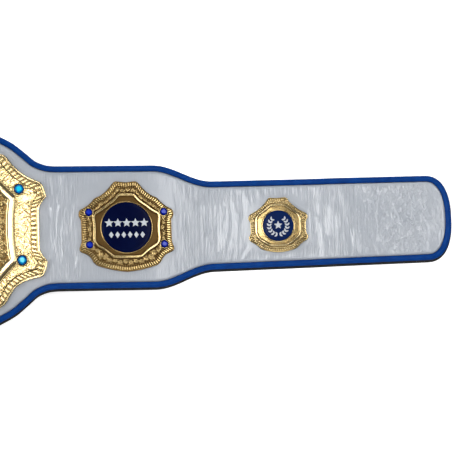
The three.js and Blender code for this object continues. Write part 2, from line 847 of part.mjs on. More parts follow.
function plateGeometry(spec, edgeRows, frameRows, at, stones, stone, mirrored) {
  const geometry = plateShell(spec, edgeRows, frameRows, at).geometry(mirrored);
  if (!stones.length) return geometry;
  let solid = toSolid(geometry);
  for (const row of stones) {
    const { s, y } = stonePlace(spec, row, mirrored ? -at : at);
    solid = solid.subtract(pocket(stone, s, y));
  }
  return fromSolid(solid);
}

// Closure patches: rounded oblongs in the belt's own bend
function patchGeometry(from, to, low, high) {
  const shape = new Shell();
  const outline = [];
  const cornerSteps = 3;
  const halfWidth = patchWidth / 2 - patchCorner;
  const corners = [
    [to - patchCorner, halfWidth, 0],
    [from + patchCorner, halfWidth, 1],
    [from + patchCorner, -halfWidth, 2],
    [to - patchCorner, -halfWidth, 3],
  ];
  for (const [s, y, quarterTurn] of corners) {
    for (let i = 0; i <= cornerSteps; i += 1) {
      const angle = ((quarterTurn + i / cornerSteps) * Math.PI) / 2;
      outline.push([s + patchCorner * Math.cos(angle), y + patchCorner * Math.sin(angle)]);
    }
  }
  const lower = shape.loop(outline.map(([s, y]) => place(s, y, low)));
  const upper = shape.loop(outline.map(([s, y]) => place(s, y, high)));
  shape.band(lower, upper);
  const middle = (from + to) / 2;
  shape.fan(place(middle, 0, low), lower, true);
  shape.fan(place(middle, 0, high), upper);
  return shape.geometry();
}

// Materials, one for each mesh

function finish(color, roughness, metalness) {
  return new THREE.MeshStandardMaterial({ color, roughness, metalness });
}

const whiteLeather = () => finish(0xe4e8ee, 0.35, 0);
const blackLeather = () => finish(0x151515, 0.6, 0);
const blueCord = () => finish(0x0a4a9c, 0.4, 0);
const gold = () => finish(0xd9b25a, 0.3, 1);
const navyEnamel = () => finish(0x070d3c, 0.2, 0);
const lightBlueGlass = () => finish(0x14b8ea, 0.05, 0);
const blueGlass = () => finish(0x1546e0, 0.05, 0);
const blackFabric = () => finish(0x101010, 0.95, 0);

const belt = new THREE.Group();

function add(name, geometry, material) {
  const mesh = new THREE.Mesh(geometry, material);
  mesh.name = name;
  belt.add(mesh);
}

function addStones(prefix, spec, rows, stone, at, material) {
  rows.forEach((row, i) => {
    const { s, y } = stonePlace(spec, row, at);
    add(`${prefix}_${i + 1}`, stoneGeometry(stone, s, y), material());
  });
}

add("strap_back", strapBack(), blackLeather());
add("strap_front", strapFront(), whiteLeather());
add("piping", piping(), blueCord());

const main = plateGeometry(mainPlate, mainEdge, mainFrame, 0, mainStones, mainStone, false);
add("main_plate", main, gold());
add("main_disc", discShell(mainPlate, 0).geometry(), navyEnamel());
addStones("main_gem", mainPlate, mainStones, mainStone, 0, lightBlueGlass);

for (const [side, sign] of [["right", 1], ["left", -1]]) {
  const mirrored = sign < 0;
  const innerShape = [innerPlate, innerEdge, innerFrame, innerMiddle, innerStones, innerStone];
  add(`inner_plate_${side}`, plateGeometry(...innerShape, mirrored), gold());
  add(`inner_disc_${side}`, discShell(innerPlate, innerMiddle).geometry(mirrored), navyEnamel());
  addStones(`inner_gem_${side}`, innerPlate, innerStones, innerStone, sign * innerMiddle, blueGlass);
  const outer = plateGeometry(outerPlate, outerEdge, outerFrame, outerMiddle, [], null, mirrored);
  add(`outer_plate_${side}`, outer, gold());
  add(`outer_disc_${side}`, discShell(outerPlate, outerMiddle).geometry(mirrored), navyEnamel());
}

const patchStart = patchEnd - patchLength;
const hookPatch = patchGeometry(patchStart, patchEnd, -fit - patchThickness, -fit);
add("closure_hook_patch", hookPatch, blackFabric());
const loopLow = frontTop + fit;
const loopPatch = patchGeometry(-patchEnd, -patchStart, loopLow, loopLow + patchThickness);
add("closure_loop_patch", loopPatch, blackFabric());

export default belt;
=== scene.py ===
"""A championship title belt lying on its back: the looks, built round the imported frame."""

import math

import bpy
import numpy as np
from mathutils import Matrix


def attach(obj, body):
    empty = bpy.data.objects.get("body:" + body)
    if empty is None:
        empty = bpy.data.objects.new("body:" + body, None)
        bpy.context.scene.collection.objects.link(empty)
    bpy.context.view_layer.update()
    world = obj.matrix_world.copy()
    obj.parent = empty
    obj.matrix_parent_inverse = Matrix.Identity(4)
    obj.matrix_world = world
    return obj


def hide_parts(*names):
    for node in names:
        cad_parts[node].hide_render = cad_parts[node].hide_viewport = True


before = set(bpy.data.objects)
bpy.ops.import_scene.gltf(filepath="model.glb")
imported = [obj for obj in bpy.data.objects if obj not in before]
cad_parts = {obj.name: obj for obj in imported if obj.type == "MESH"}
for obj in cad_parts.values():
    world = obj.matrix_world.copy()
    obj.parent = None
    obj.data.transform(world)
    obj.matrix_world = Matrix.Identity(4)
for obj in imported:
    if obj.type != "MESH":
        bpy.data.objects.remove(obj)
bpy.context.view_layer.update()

MM = 0.001
DEGREE = math.pi / 180

# Sizes of the belt, in millimetres, as the frame's solids have them
FIT = 0.3
BACK_THICKNESS = 2.5
FRONT_THICKNESS = 3.0
FRONT_EDGE_DROP = 0.9
MAIN_HEIGHT = 276.0
SIDE_HEIGHT = 156.5
NECK_HEIGHT = 113.5
END_HEIGHT = 108.5
END_ROUND = 33.0
END_POWER = 2.4
TAIL = 183.0
BACK_MARGIN = 0.5
# how far the black backing shows below the lower edge: partly its own edge, partly a dark strip standing in for the
# shadow under the belt
BACK_BELOW_AS_EDGE_AND_SHADOW = 2.6
PIPING_WIDTH = 7.4
PIPING_HEIGHT = 5.4
GAP_MAIN_TO_INNER = 40.5
GAP_INNER_TO_OUTER = 97.0
DISC_DROP = 1.3
SLOPE_AT_MAIN_PLATE = 9 * DEGREE
SLOPE_AT_FOOT = 11 * DEGREE
FLANK_PAST_INNER = 10.0
FOOT_RUN = 60.0
PATCH_THICKNESS = 2.0
PATCH_LENGTH = 120.0
PATCH_WIDTH = 74.0
PATCH_FROM_END = 22.0
PATCH_CORNER = 6.0
LIFT_RUN = 20.0

MAIN = dict(width=271.0, height=238.0, drop=2.0, disc=132.0, disc_thickness=1.6, seat=2.4, crown=0.0)
INNER = dict(width=121.0, height=116.0, drop=0.0, disc=64.0, disc_thickness=1.5, seat=1.4, crown=0.8)
OUTER = dict(width=76.0, height=70.5, drop=2.3, disc=39.0, disc_thickness=1.3, seat=1.2, crown=0.7)
MAIN_STONE = dict(diameter=11.4, height=4.6, depth=1.8)
INNER_STONE = dict(diameter=8.8, height=3.6, depth=1.2)

# Half outlines from the top round to the bottom: x and y as shares of half the width and height, and
# how far the way to the next point bows out, as a share of its length
MAIN_EDGE = [
    (0, 0.97, 0),
    (0.25, 1, 0),
    (0.3, 0.97, -0.07),
    (0.46, 0.845, -0.02),
    (0.61, 0.805, 0.05),
    (0.65, 0.77, -0.08),
    (0.89, 0.53, 0),
    (0.953, 0.5, 0.06),
    (1, 0.34, -0.05),
    (0.93, 0.22, 0),
    (0.93, -0.22, -0.05),
    (1, -0.34, 0.06),
    (0.953, -0.505, 0),
    (0.86, -0.53, -0.07),
    (0.69, -0.63, 0),
    (0.625, -0.755, 0.1),
    (0.53, -0.84, 0.02),
    (0.46, -0.855, -0.07),
    (0.3, -0.97, 0),
    (0.25, -1, 0),
    (0, -0.97, 0),
]
MAIN_FRAME = [
    (0, 0.7, 0),
    (0.28, 0.7, -0.06),
    (0.52, 0.53, -0.03),
    (0.68, 0.33, -0.04),
    (0.68, -0.33, -0.03),
    (0.52, -0.53, -0.06),
    (0.28, -0.7, 0),
    (0, -0.7, 0),
]
INNER_EDGE = [
    (0, 0.975, 0),
    (0.21, 1, 0.05),
    (0.29, 0.94, -0.06),
    (0.57, 0.665, 0.04),
    (0.67, 0.62, -0.06),
    (0.92, 0.4, 0.05),
    (0.985, 0.36, 0.05),
    (1, 0.23, -0.04),
    (0.952, 0.14, 0),
    (0.952, -0.32, -0.04),
    (1, -0.47, 0.1),
    (0.97, -0.56, -0.05),
    (0.815, -0.635, -0.08),
    (0.72, -0.77, 0.06),
    (0.625, -0.86, 0.03),
    (0, -1, 0),
]
INNER_FRAME = [
    (0, 0.7, 0),
    (0.16, 0.7, -0.06),
    (0.43, 0.45, -0.04),
    (0.66, 0.29, 0.1),
    (0.7, 0.2, -0.04),
    (0.69, -0.25, 0.1),
    (0.61, -0.42, -0.04),
    (0.3, -0.66, 0.02),
    (0, -0.67, 0),
]
OUTER_EDGE = [
    (0, 0.98, 0),
    (0.28, 1, 0.05),
    (0.36, 0.9, -0.04),
    (0.56, 0.67, -0.04),
    (0.88, 0.44, 0.05),
    (0.975, 0.37, 0.05),
    (1, 0.22, -0.04),
    (0.93, 0.1, 0),
    (0.93, -0.3, -0.04),
    (1, -0.42, 0.08),
    (0.945, -0.59, -0.04),
    (0.755, -0.71, -0.06),
    (0.64, -0.84, 0.04),
    (0.4, -0.94, 0.03),
    (0, -1, 0),
]
OUTER_FRAME = [
    (0, 0.74, 0),
    (0.24, 0.72, -0.02),
    (0.62, 0.42, 0.08),
    (0.74, 0.2, 0),
    (0.74, -0.26, 0.08),
    (0.6, -0.53, 0.02),
    (0.28, -0.74, 0),
    (0, -0.76, 0),
]
MAIN_STONES = [(0.75, 0.43), (-0.75, 0.43), (-0.765, -0.33), (0.765, -0.33)]
INNER_STONES = [(0.79, 0.315), (-0.79, 0.315), (-0.79, -0.4), (0.79, -0.4)]

# The bulge round the main plate: share of its length from the middle, and share of its rise
BULGE_AT = [0, 0.17, 0.34, 0.5, 0.63, 0.73, 0.83, 0.93, 1]
BULGE_RISE = [1, 0.965, 0.86, 0.68, 0.5, 0.295, 0.09, 0.01, 0]

# Places along the belt that follow from the sizes
MAIN_REACH = MAIN["width"] / 2
INNER_START = MAIN_REACH + GAP_MAIN_TO_INNER
INNER_MIDDLE = INNER_START + INNER["width"] / 2
INNER_END = INNER_START + INNER["width"]
OUTER_START = INNER_END + GAP_INNER_TO_OUTER
OUTER_MIDDLE = OUTER_START + OUTER["width"] / 2
OUTER_END = OUTER_START + OUTER["width"]
BELT_END = OUTER_END + TAIL
BULGE_REACH = MAIN_REACH + GAP_MAIN_TO_INNER * 0.38
TAPER_START = INNER_END - GAP_INNER_TO_OUTER * 0.26
TAPER_END = INNER_END + GAP_INNER_TO_OUTER * 0.55
FRONT_TOP = BACK_THICKNESS + FIT + FRONT_THICKNESS
PLATE_BASE = FRONT_TOP + FIT
PATCH_END = BELT_END - PATCH_FROM_END
PATCH_START = PATCH_END - PATCH_LENGTH
LIFT_START = PATCH_START - 2 * LIFT_RUN


# Curves


def smooth(low, high, value):
    """Goes from 0 at low to 1 at high with level ends; low may be the larger."""
    t = np.clip((value - low) / (high - low), 0, 1)
    return t * t * (3 - 2 * t)


def ease(t):
    return (1 - np.cos(np.pi * np.clip(t, 0, 1))) / 2


def through(at, xs, ys):
    """A smooth curve through a table that never overshoots it."""
    xs, ys = np.array(xs, float), np.array(ys, float)
    step = np.diff(ys) / np.diff(xs)
    slope = np.zeros(len(xs))
    product = step[:-1] * step[1:]
    total = step[:-1] + step[1:]
    slope[1:-1] = np.where(product > 0, 2 * product / np.where(total == 0, 1, total), 0)
    at = np.clip(at, xs[0], xs[-1])
    i = np.clip(np.searchsorted(xs, at, side="right") - 1, 0, len(step) - 1)
    width = xs[i + 1] - xs[i]
    t = (at - xs[i]) / width
    rise = ys[i + 1] - ys[i]
    bend = (slope[i] * (1 - t) - slope[i + 1] * t) * width + rise * (2 * t - 1)
    return ys[i] + rise * t + t * (1 - t) * bend


def half_height(s):
    """Half the belt's height at s, with the rounded end left out."""
    s = np.abs(s)
    main = (MAIN_HEIGHT - SIDE_HEIGHT) * through(s / BULGE_REACH, BULGE_AT, BULGE_RISE)
    taper = (SIDE_HEIGHT - NECK_HEIGHT) * ease((TAPER_END - s) / (TAPER_END - TAPER_START))
    along = np.clip((s - TAPER_END) / (BELT_END - END_ROUND - TAPER_END), 0, 1)
    return (NECK_HEIGHT - (NECK_HEIGHT - END_HEIGHT) * along + taper + main) / 2


def arch(marks):
    """Integrates the underside's slope, given at marks along it, into x and z."""
    s = np.arange(0, BELT_END + 5, 0.25)
    heading = np.interp(s, *marks)
    middle = (heading[1:] + heading[:-1]) / 2
    x = np.concatenate([[0], np.cumsum(np.cos(middle)) * 0.25])
    z = np.concatenate([[0], np.cumsum(np.sin(middle)) * 0.25])
    return s, x, z, heading


FLANK_END = INNER_END + FLANK_PAST_INNER
FOOT_END = FLANK_END + FOOT_RUN
LIFT_TURN = (PATCH_THICKNESS + FIT) / LIFT_RUN
LEFT_MARKS = (
    [0, MAIN_REACH, FLANK_END, FOOT_END],
    [0, -SLOPE_AT_MAIN_PLATE, -SLOPE_AT_FOOT, 0],
)
RIGHT_MARKS = (
    LEFT_MARKS[0] + [LIFT_START, LIFT_START + LIFT_RUN, LIFT_START + 2 * LIFT_RUN],
    LEFT_MARKS[1] + [0, LIFT_TURN, 0],
)
LEFT_ARCH = arch(LEFT_MARKS)
RIGHT_ARCH = arch(RIGHT_MARKS)
ARCH_HEIGHT = -np.interp(FOOT_END, LEFT_ARCH[0], LEFT_ARCH[2])


def spot(s):
    """x, z and slope of the belt's underside at s."""
    s = np.asarray(s, float)
    length = np.abs(s)
    right = [np.interp(length, RIGHT_ARCH[0], RIGHT_ARCH[k]) for k in (1, 2, 3)]
    left = [np.interp(length, LEFT_ARCH[0], LEFT_ARCH[k]) for k in (1, 2, 3)]
    side = np.where(s < 0, -1.0, 1.0)
    x, z, heading = [np.where(s < 0, b, a) for a, b in zip(right, left)]
    return side * x, z + ARCH_HEIGHT, side * heading


def place(s, y, h):
    """Lays points given by s, y and h on the bent belt, in metres."""
    x, z, heading = spot(s)
    px = x - h * np.sin(heading)
    pz = z + h * np.cos(heading)
    return np.stack(np.broadcast_arrays(px, y, pz), -1) * MM


# Noise that is the same on every run

RANDOM = np.random.default_rng(7).random((16, 128, 128))


def noise(u, v, layer):
    """Smooth noise from 0 to 1, with features one unit apart."""
    iu, iv = np.floor(u).astype(int), np.floor(v).astype(int)
    fu, fv = u - iu, v - iv
    fu, fv = fu * fu * (3 - 2 * fu), fv * fv * (3 - 2 * fv)
    table = RANDOM[layer % 16]
    corner = lambda a, b: table[(iu + a) % 128, (iv + b) % 128]
    low = corner(0, 0) * (1 - fu) + corner(1, 0) * fu
    high = corner(0, 1) * (1 - fu) + corner(1, 1) * fu
    return low * (1 - fv) + high * fv


def ripple(u, v, layer):
    """Sharp-topped ripples from 0 to 1."""
    return 1 - np.abs(2 * noise(u, v, layer) - 1)


# Meshes


def make_object(name, points, faces, material, smooth_shaded=True):
    mesh = bpy.data.meshes.new(name)
    mesh.from_pydata(np.asarray(points).reshape(-1, 3).tolist(), [], faces)
    mesh.validate()
    mesh.polygons.foreach_set("use_smooth", [smooth_shaded] * len(mesh.polygons))
    mesh.materials.append(material)
    piece = bpy.data.objects.new(name, mesh)
    bpy.context.scene.collection.objects.link(piece)
    return piece


def grid_faces(rows, columns, closed_rows=False, closed_columns=True, first=0):
    """Faces between rows of points, each row a loop of columns unless it is open."""
    i = np.arange(rows if closed_rows else rows - 1)
    j = np.arange(columns if closed_columns else columns - 1)
    i, j = np.meshgrid(i, j, indexing="ij")
    i2, j2 = (i + 1) % rows, (j + 1) % columns
    quads = np.stack([i * columns + j, i * columns + j2, i2 * columns + j2, i2 * columns + j], -1)
    return (quads.reshape(-1, 4) + first).tolist()


def fan_faces(middle, loop, flipped=False):
    ahead = list(loop[1:]) + [loop[0]]
    pairs = zip(ahead, loop) if flipped else zip(loop, ahead)
    return [[middle, a, b] for a, b in pairs]


def set_attribute(piece, name, values):
    attribute = piece.data.attributes.new(name, "FLOAT", "POINT")
    attribute.data.foreach_set("value", np.asarray(values, np.float32).ravel())


def finish_piece(piece, slot, *nodes):
    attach(piece, "root")
    if nodes:
        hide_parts(*nodes)
    return piece


# Materials


def new_material(name):
    material = bpy.data.materials.new(name)
    material.use_nodes = True
    nodes = material.node_tree.nodes
    return material, nodes, material.node_tree.links, nodes["Principled BSDF"]


def texture_place(nodes, links, scale):
    """Object coordinates stretched by scale, three numbers."""
    coordinates = nodes.new("ShaderNodeTexCoord")
    mapping = nodes.new("ShaderNodeMapping")
    mapping.inputs["Scale"].default_value = scale
    links.new(coordinates.outputs["Object"], mapping.inputs["Vector"])
    return mapping.outputs["Vector"]


def noise_node(nodes, links, scale, detail=3.0, roughness=0.55, distortion=0.0):
    node = nodes.new("ShaderNodeTexNoise")
    node.inputs["Scale"].default_value = 1.0
    node.inputs["Detail"].default_value = detail
    node.inputs["Roughness"].default_value = roughness
    node.inputs["Distortion"].default_value = distortion
    links.new(texture_place(nodes, links, scale), node.inputs["Vector"])
    return node.outputs["Fac"]


def wave_node(nodes, links, scale, distortion, detail_scale):
    """Bands across the first direction, bent by a noise."""
    node = nodes.new("ShaderNodeTexWave")
    node.inputs["Scale"].default_value = 1.0
    node.inputs["Distortion"].default_value = distortion
    node.inputs["Detail"].default_value = 2.0
    node.inputs["Detail Scale"].default_value = detail_scale
    links.new(texture_place(nodes, links, scale), node.inputs["Vector"])
    return node.outputs["Fac"]


def ramp(nodes, links, source, stops):
    node = nodes.new("ShaderNodeValToRGB")
    while len(node.color_ramp.elements) < len(stops):
        node.color_ramp.elements.new(1)
    for element, (position, colour) in zip(node.color_ramp.elements, stops):
        element.position = position
        element.color = (*colour, 1)
    links.new(source, node.inputs["Fac"])
    return node.outputs["Color"]


def grey(value):
    return (value, value, value)


def bump(nodes, links, height, strength, distance, under=None):
    node = nodes.new("ShaderNodeBump")
    node.inputs["Strength"].default_value = strength
    node.inputs["Distance"].default_value = distance
    links.new(height, node.inputs["Height"])
    if under is not None:
        links.new(under, node.inputs["Normal"])
    return node.outputs["Normal"]


def attribute_node(nodes, name):
    node = nodes.new("ShaderNodeAttribute")
    node.attribute_name = name
    return node.outputs["Fac"]


def times(nodes, links, first, second):
    node = nodes.new("ShaderNodeMath")
    node.operation = "MULTIPLY"
    links.new(first, node.inputs[0])
    links.new(second, node.inputs[1])
    return node.outputs["Value"]


def white_leather():
    """Glossy leather; its creases run across the belt and crumple where the attribute says so."""
    material, nodes, links, shader = new_material("white_leather")
    mix = nodes.new("ShaderNodeMix")
    links.new(attribute_node(nodes, "crumple"), mix.inputs["Factor"])
    lines = nodes.new("ShaderNodeMix")
    lines.inputs["Factor"].default_value = 0.3
    links.new(noise_node(nodes, links, (340, 48, 48), 2, 0.5, 0.5), lines.inputs["A"])
    links.new(wave_node(nodes, links, (80, 15, 15), 9.0, 1.2), lines.inputs["B"])
    links.new(lines.outputs["Result"], mix.inputs["A"])
    links.new(noise_node(nodes, links, (230, 150, 100), 2, 0.5, 0.9), mix.inputs["B"])
    creased = attribute_node(nodes, "creases")
    folds = ramp(nodes, links, mix.outputs["Result"], [(0.42, grey(0)), (0.72, grey(1))])
    highlight_crests = ramp(nodes, links, mix.outputs["Result"], [(0.56, grey(0)), (0.68, grey(1))])
    mottle = noise_node(nodes, links, (18, 30, 18), 4)
    colour = ramp(nodes, links, mottle, [(0.3, (0.41, 0.442, 0.493)), (0.7, (0.46, 0.49, 0.536))])
    # painted highlight: the wrinkle crests get a lighter colour where the leather is creased, standing in for glints
    # of light on them
    painted_crest_highlight = nodes.new("ShaderNodeMix")
    painted_crest_highlight.data_type = "RGBA"
    links.new(times(nodes, links, highlight_crests, creased), painted_crest_highlight.inputs[0])
    links.new(colour, painted_crest_highlight.inputs[6])
    painted_crest_highlight.inputs[7].default_value = (0.55, 0.58, 0.625, 1)
    links.new(painted_crest_highlight.outputs[2], shader.inputs["Base Color"])
    shader.inputs["Roughness"].default_value = 0.24
    shader.inputs["Coat Weight"].default_value = 0.9
    shader.inputs["Coat Roughness"].default_value = 0.1
    fine = noise_node(nodes, links, (480, 70, 150), 4, 0.6, 0.6)
    grain = noise_node(nodes, links, (1500, 1500, 1500), 2)
    first = bump(nodes, links, fine, 0.7, 0.0006)
    second = bump(nodes, links, times(nodes, links, folds, creased), 0.9, 0.0005, first)
    links.new(bump(nodes, links, grain, 0.3, 0.0001, second), shader.inputs["Normal"])
    return material


def black_leather():
    material, nodes, links, shader = new_material("black_leather")
    mottle = noise_node(nodes, links, (60, 60, 60), 3)
    colour = ramp(nodes, links, mottle, [(0.3, grey(0.008)), (0.7, grey(0.02))])
    links.new(colour, shader.inputs["Base Color"])
    shader.inputs["Roughness"].default_value = 0.62
    cells = nodes.new("ShaderNodeTexVoronoi")
    cells.inputs["Scale"].default_value = 1.0
    links.new(texture_place(nodes, links, (900, 900, 900)), cells.inputs["Vector"])
    links.new(bump(nodes, links, cells.outputs["Distance"], 0.5, 0.00025), shader.inputs["Normal"])
    return material


def blue_piping():
    material, nodes, links, shader = new_material("blue_piping")
    mottle = noise_node(nodes, links, (90, 90, 90), 4)
    colour = ramp(nodes, links, mottle, [(0.3, (0.0005, 0.036, 0.2)), (0.7, (0.001, 0.05, 0.26))])
    links.new(colour, shader.inputs["Base Color"])
    shader.inputs["Roughness"].default_value = 0.4
    shader.inputs["Specular IOR Level"].default_value = 0.08
    grain = noise_node(nodes, links, (1100, 1100, 1100), 3)
    links.new(bump(nodes, links, grain, 0.35, 0.00015), shader.inputs["Normal"])
    return material


def gold():
    """The finish and shade attribute runs from 0 in dark stippled recesses to 1 on polished tops; its dark low end is
    partly patina and partly painted shade.
    """
    material, nodes, links, shader = new_material("gold_plate")
    finish_and_shade = attribute_node(nodes, "finish_and_shade")
    # painted shade: the darkest colours, at the low end, darken recesses and the gaps between teeth as shade would,
    # on top of the patina there
    colour = ramp(
        nodes,
        links,
        finish_and_shade,
        [
            (0.0, (0.05, 0.024, 0.007)),
            (0.3, (0.34, 0.2, 0.065)),
            (0.6, (0.82, 0.61, 0.27)),
            (1.0, (0.95, 0.77, 0.42)),
        ],
    )
    links.new(colour, shader.inputs["Base Color"])
    shader.inputs["Metallic"].default_value = 1.0
    rough = ramp(nodes, links, finish_and_shade, [(0.0, grey(0.42)), (0.55, grey(0.18)), (1.0, grey(0.1))])
    links.new(rough, shader.inputs["Roughness"])
    stipple = noise_node(nodes, links, (1100, 1100, 1100), 3, 0.65)
    brush = noise_node(nodes, links, (240, 240, 240), 3)
    first = bump(nodes, links, stipple, 0.2, 0.0001)
    links.new(bump(nodes, links, brush, 0.12, 0.0002, first), shader.inputs["Normal"])
    return material


def navy_enamel(name, dark, light):
    material, nodes, links, shader = new_material(name)
    mottle = noise_node(nodes, links, (40, 40, 40), 2)
    colour = ramp(nodes, links, mottle, [(0.3, dark), (0.7, light)])
    links.new(colour, shader.inputs["Base Color"])
    shader.inputs["Roughness"].default_value = 0.1
    shader.inputs["Specular IOR Level"].default_value = 0.04
    return material


def white_enamel():
    material, nodes, links, shader = new_material("white_enamel")
    mottle = noise_node(nodes, links, (300, 300, 300), 2)
    colour = ramp(nodes, links, mottle, [(0.3, (0.5, 0.54, 0.58)), (0.7, (0.62, 0.65, 0.68))])
    links.new(colour, shader.inputs["Base Color"])
    shader.inputs["Roughness"].default_value = 0.35
    return material


def stone(name, table, crown, girdle):
    """The attribute runs from 0 at the girdle to 1 on the table; the colours it picks are painted light: a bright
    table and darker crown and girdle stand in for reflections and shade inside the stone.
    """
    material, nodes, links, shader = new_material(name)
    painted_facet_light = attribute_node(nodes, "painted_facet_light")
    colour = ramp(nodes, links, painted_facet_light, [(0.0, girdle), (0.5, crown), (1.0, table)])
    links.new(colour, shader.inputs["Base Color"])
    shader.inputs["Roughness"].default_value = 0.05
    shader.inputs["Specular IOR Level"].default_value = 0.35
    return material


def closure_fabric():
    material, nodes, links, shader = new_material("closure_fabric")
    mottle = noise_node(nodes, links, (700, 700, 700), 3)
    colour = ramp(nodes, links, mottle, [(0.3, grey(0.004)), (0.7, grey(0.022))])
    links.new(colour, shader.inputs["Base Color"])
    shader.inputs["Roughness"].default_value = 0.95
    shader.inputs["Sheen Weight"].default_value = 0.3
    links.new(bump(nodes, links, mottle, 0.9, 0.0006), shader.inputs["Normal"])
    return material


# Leather


def edge_quarter():
    """The upper right quarter of the belt's edge: s, y and the way inwards."""
    straight = np.arange(0, BELT_END - END_ROUND, 1.05)
    small = 0.01
    slope = (half_height(straight + small) - half_height(straight - small)) / (2 * small)
    length = np.hypot(slope, 1)
    first = np.stack([straight, half_height(straight), slope / length, -1 / length], -1)
    angle = np.linspace(90, 0, 60) * DEGREE
    x = np.abs(np.cos(angle)) ** (2 / END_POWER)
    y = np.abs(np.sin(angle)) ** (2 / END_POWER)
    normal_s = x ** (END_POWER - 1) / END_ROUND
    normal_y = y ** (END_POWER - 1) / (END_HEIGHT / 2)
    length = np.hypot(normal_s, normal_y)
    s = BELT_END - END_ROUND + END_ROUND * x
    last = np.stack([s, END_HEIGHT / 2 * y, -normal_s / length, -normal_y / length], -1)
    return np.concatenate([first, last])


QUARTER = edge_quarter()


def upper_edge(inset):
    """s and y of the upper edge moved inwards, from the left end to the right one."""
    s = QUARTER[:-1, 0] + QUARTER[:-1, 2] * inset
    y = QUARTER[:-1, 1] + QUARTER[:-1, 3] * inset
    return np.concatenate([-s[:0:-1], s]), np.concatenate([y[:0:-1], y])


def near_plate(s, y):
    """1 under the plates and close round them, 0 well away."""
    cover = 0
    for spec, middle in ((MAIN, 0), (INNER, INNER_MIDDLE), (OUTER, OUTER_MIDDLE)):
        across = (np.abs(s) - middle) / (spec["width"] / 2 + 1)
        up = (y + spec["drop"]) / (spec["height"] / 2 + 1)
        away = (np.abs(across) ** 3 + np.abs(up) ** 3) ** (1 / 3)
        cover = np.maximum(cover, smooth(1 + 9 / spec["width"], 1, away))
    return cover


def under_patch(s, y):
    along = smooth(-PATCH_START + 6, -PATCH_START, s) * smooth(-PATCH_END - 6, -PATCH_END, s)
    return along * smooth(PATCH_WIDTH / 2 + 6, PATCH_WIDTH / 2, np.abs(y))


def wrinkles(s, y):
    """Height of the front panel's wrinkles over its plain face, in millimetres."""
    side = np.where(s < 0, 900.0, 0.0)
    a = np.abs(s) + side
    swirl = smooth(OUTER_END + 30, OUTER_END + 110, np.abs(s))
    lean = 0.22 * (noise(a / 38, y / 45, 1) - 0.5) + swirl * 0.5 * (noise(a / 55, y / 40, 2) - 0.35)
    warp = a + lean * y + 6 * (noise(a / 18, y / 24, 3) - 0.5)
    broken = 0.35 + 1.3 * smooth(0.2, 0.8, noise(a / 7, y / 13, 15))
    fine = ripple(warp / 4.6, y / 36 + a / 90, 4) ** 3 * broken
    finer = ripple(warp / 2.8 + 7, y / 21, 5) ** 2
    coarse = ripple(warp / 11, y / 60, 6) ** 4 * (1 - 0.6 * swirl)
    crumple = ripple((a + 0.5 * y) / 6.5, (y - 0.3 * a) / 9, 0) ** 3 * broken
    patchy = smooth(0.25, 0.75, noise(a / 24, y / 30, 7))
    beside_inner = smooth(INNER_START - 4, INNER_START + 8, np.abs(s))
    beside_inner *= smooth(INNER_END + 10, INNER_END - 4, np.abs(s))
    calm_end = smooth(BELT_END - 42, BELT_END - 24, np.abs(s))
    amount = (0.6 + 0.5 * patchy + 0.5 * swirl) * (1 - 0.75 * beside_inner) * (1 - 0.65 * calm_end)
    height = (0.75 - 0.3 * swirl) * fine + 0.3 * finer + 0.75 * coarse + 0.6 * swirl * crumple - 0.55
    soft = 0.25 * (noise(a / 45, y / 38, 8) - 0.5)
    flat = np.maximum(near_plate(s, y), under_patch(s, y))
    return (0.4 * amount * height + soft) * (1 - flat), amount * (1 - flat), swirl


def front_panel():
    s, y = upper_edge(PIPING_WIDTH + FIT)
    t = np.sin(np.linspace(-90, 90, 61) * DEGREE)
    share = 0.35 * t + 0.65 * np.linspace(-1, 1, 61)
    share = share / share[-1]
    station = s[:, None] + 0 * share
    across = y[:, None] * share
    from_edge = y[:, None] * (1 - np.abs(share))
    from_end = np.clip(BELT_END - PIPING_WIDTH - FIT - np.abs(station), 0, None)
    nearest = np.minimum(from_edge, from_end)
    roll = FRONT_EDGE_DROP * (1 - smooth(0, 3.2, nearest)) ** 2
    rising = smooth(0.4, 5, nearest)
    wrinkle, creases, crumple = wrinkles(station, across)
    h = FRONT_TOP - roll + wrinkle * rising
    top = place(station, across, h)
    low = FRONT_TOP - FRONT_THICKNESS
    side_shares = np.array([1, 0.5, 0, -0.5, -1])
    under = place(s[:, None] + 0 * side_shares, y[:, None] * side_shares, low)
    loops = np.concatenate([under, top], axis=1)
    rows, columns = loops.shape[:2]
    faces = grid_faces(rows, columns)
    faces.append(list(range(columns)))
    faces.append(list(range((rows - 1) * columns, rows * columns))[::-1])
    piece = make_object("front_panel", loops, faces, WHITE_LEATHER)
    plain = np.zeros(under.shape[:2])
    set_attribute(piece, "creases", np.concatenate([plain, creases * rising], axis=1).ravel())
    set_attribute(piece, "crumple", np.concatenate([plain, crumple], axis=1).ravel())
    return finish_piece(piece, "white_leather", "strap_front")


def back_panel():
    s, y = upper_edge(-BACK_MARGIN)
    s, y = s[::3], y[::3]
    round_off = 0.5
    section = [
        (-1, 0, round_off),
        (-1, round_off, 0),
        (-1, BACK_THICKNESS - round_off, 0),
        (-1, BACK_THICKNESS, round_off),
        (1, BACK_THICKNESS, round_off),
        (1, BACK_THICKNESS - round_off, 0),
        (1, round_off, 0),
        (1, 0, round_off),
    ]
    # the backing reaches further out on the lower side: there it is partly real edge and partly a painted shadow
    # under the belt
    below = BACK_BELOW_AS_EDGE_AND_SHADOW - BACK_MARGIN
    edges = {1: y, -1: -y - below}
    columns = [place(s, edges[side] - side * inset, h + 0 * s) for side, h, inset in section]
    loops = np.stack(columns, 1)
    rows, count = loops.shape[:2]
    faces = [face[::-1] for face in grid_faces(rows, count)]
    faces.append(list(range(count))[::-1])
    faces.append(list(range((rows - 1) * count, rows * count)))
    piece = make_object("back_panel", loops, faces, BLACK_LEATHER, smooth_shaded=False)
    return finish_piece(piece, "black_leather", "strap_back")


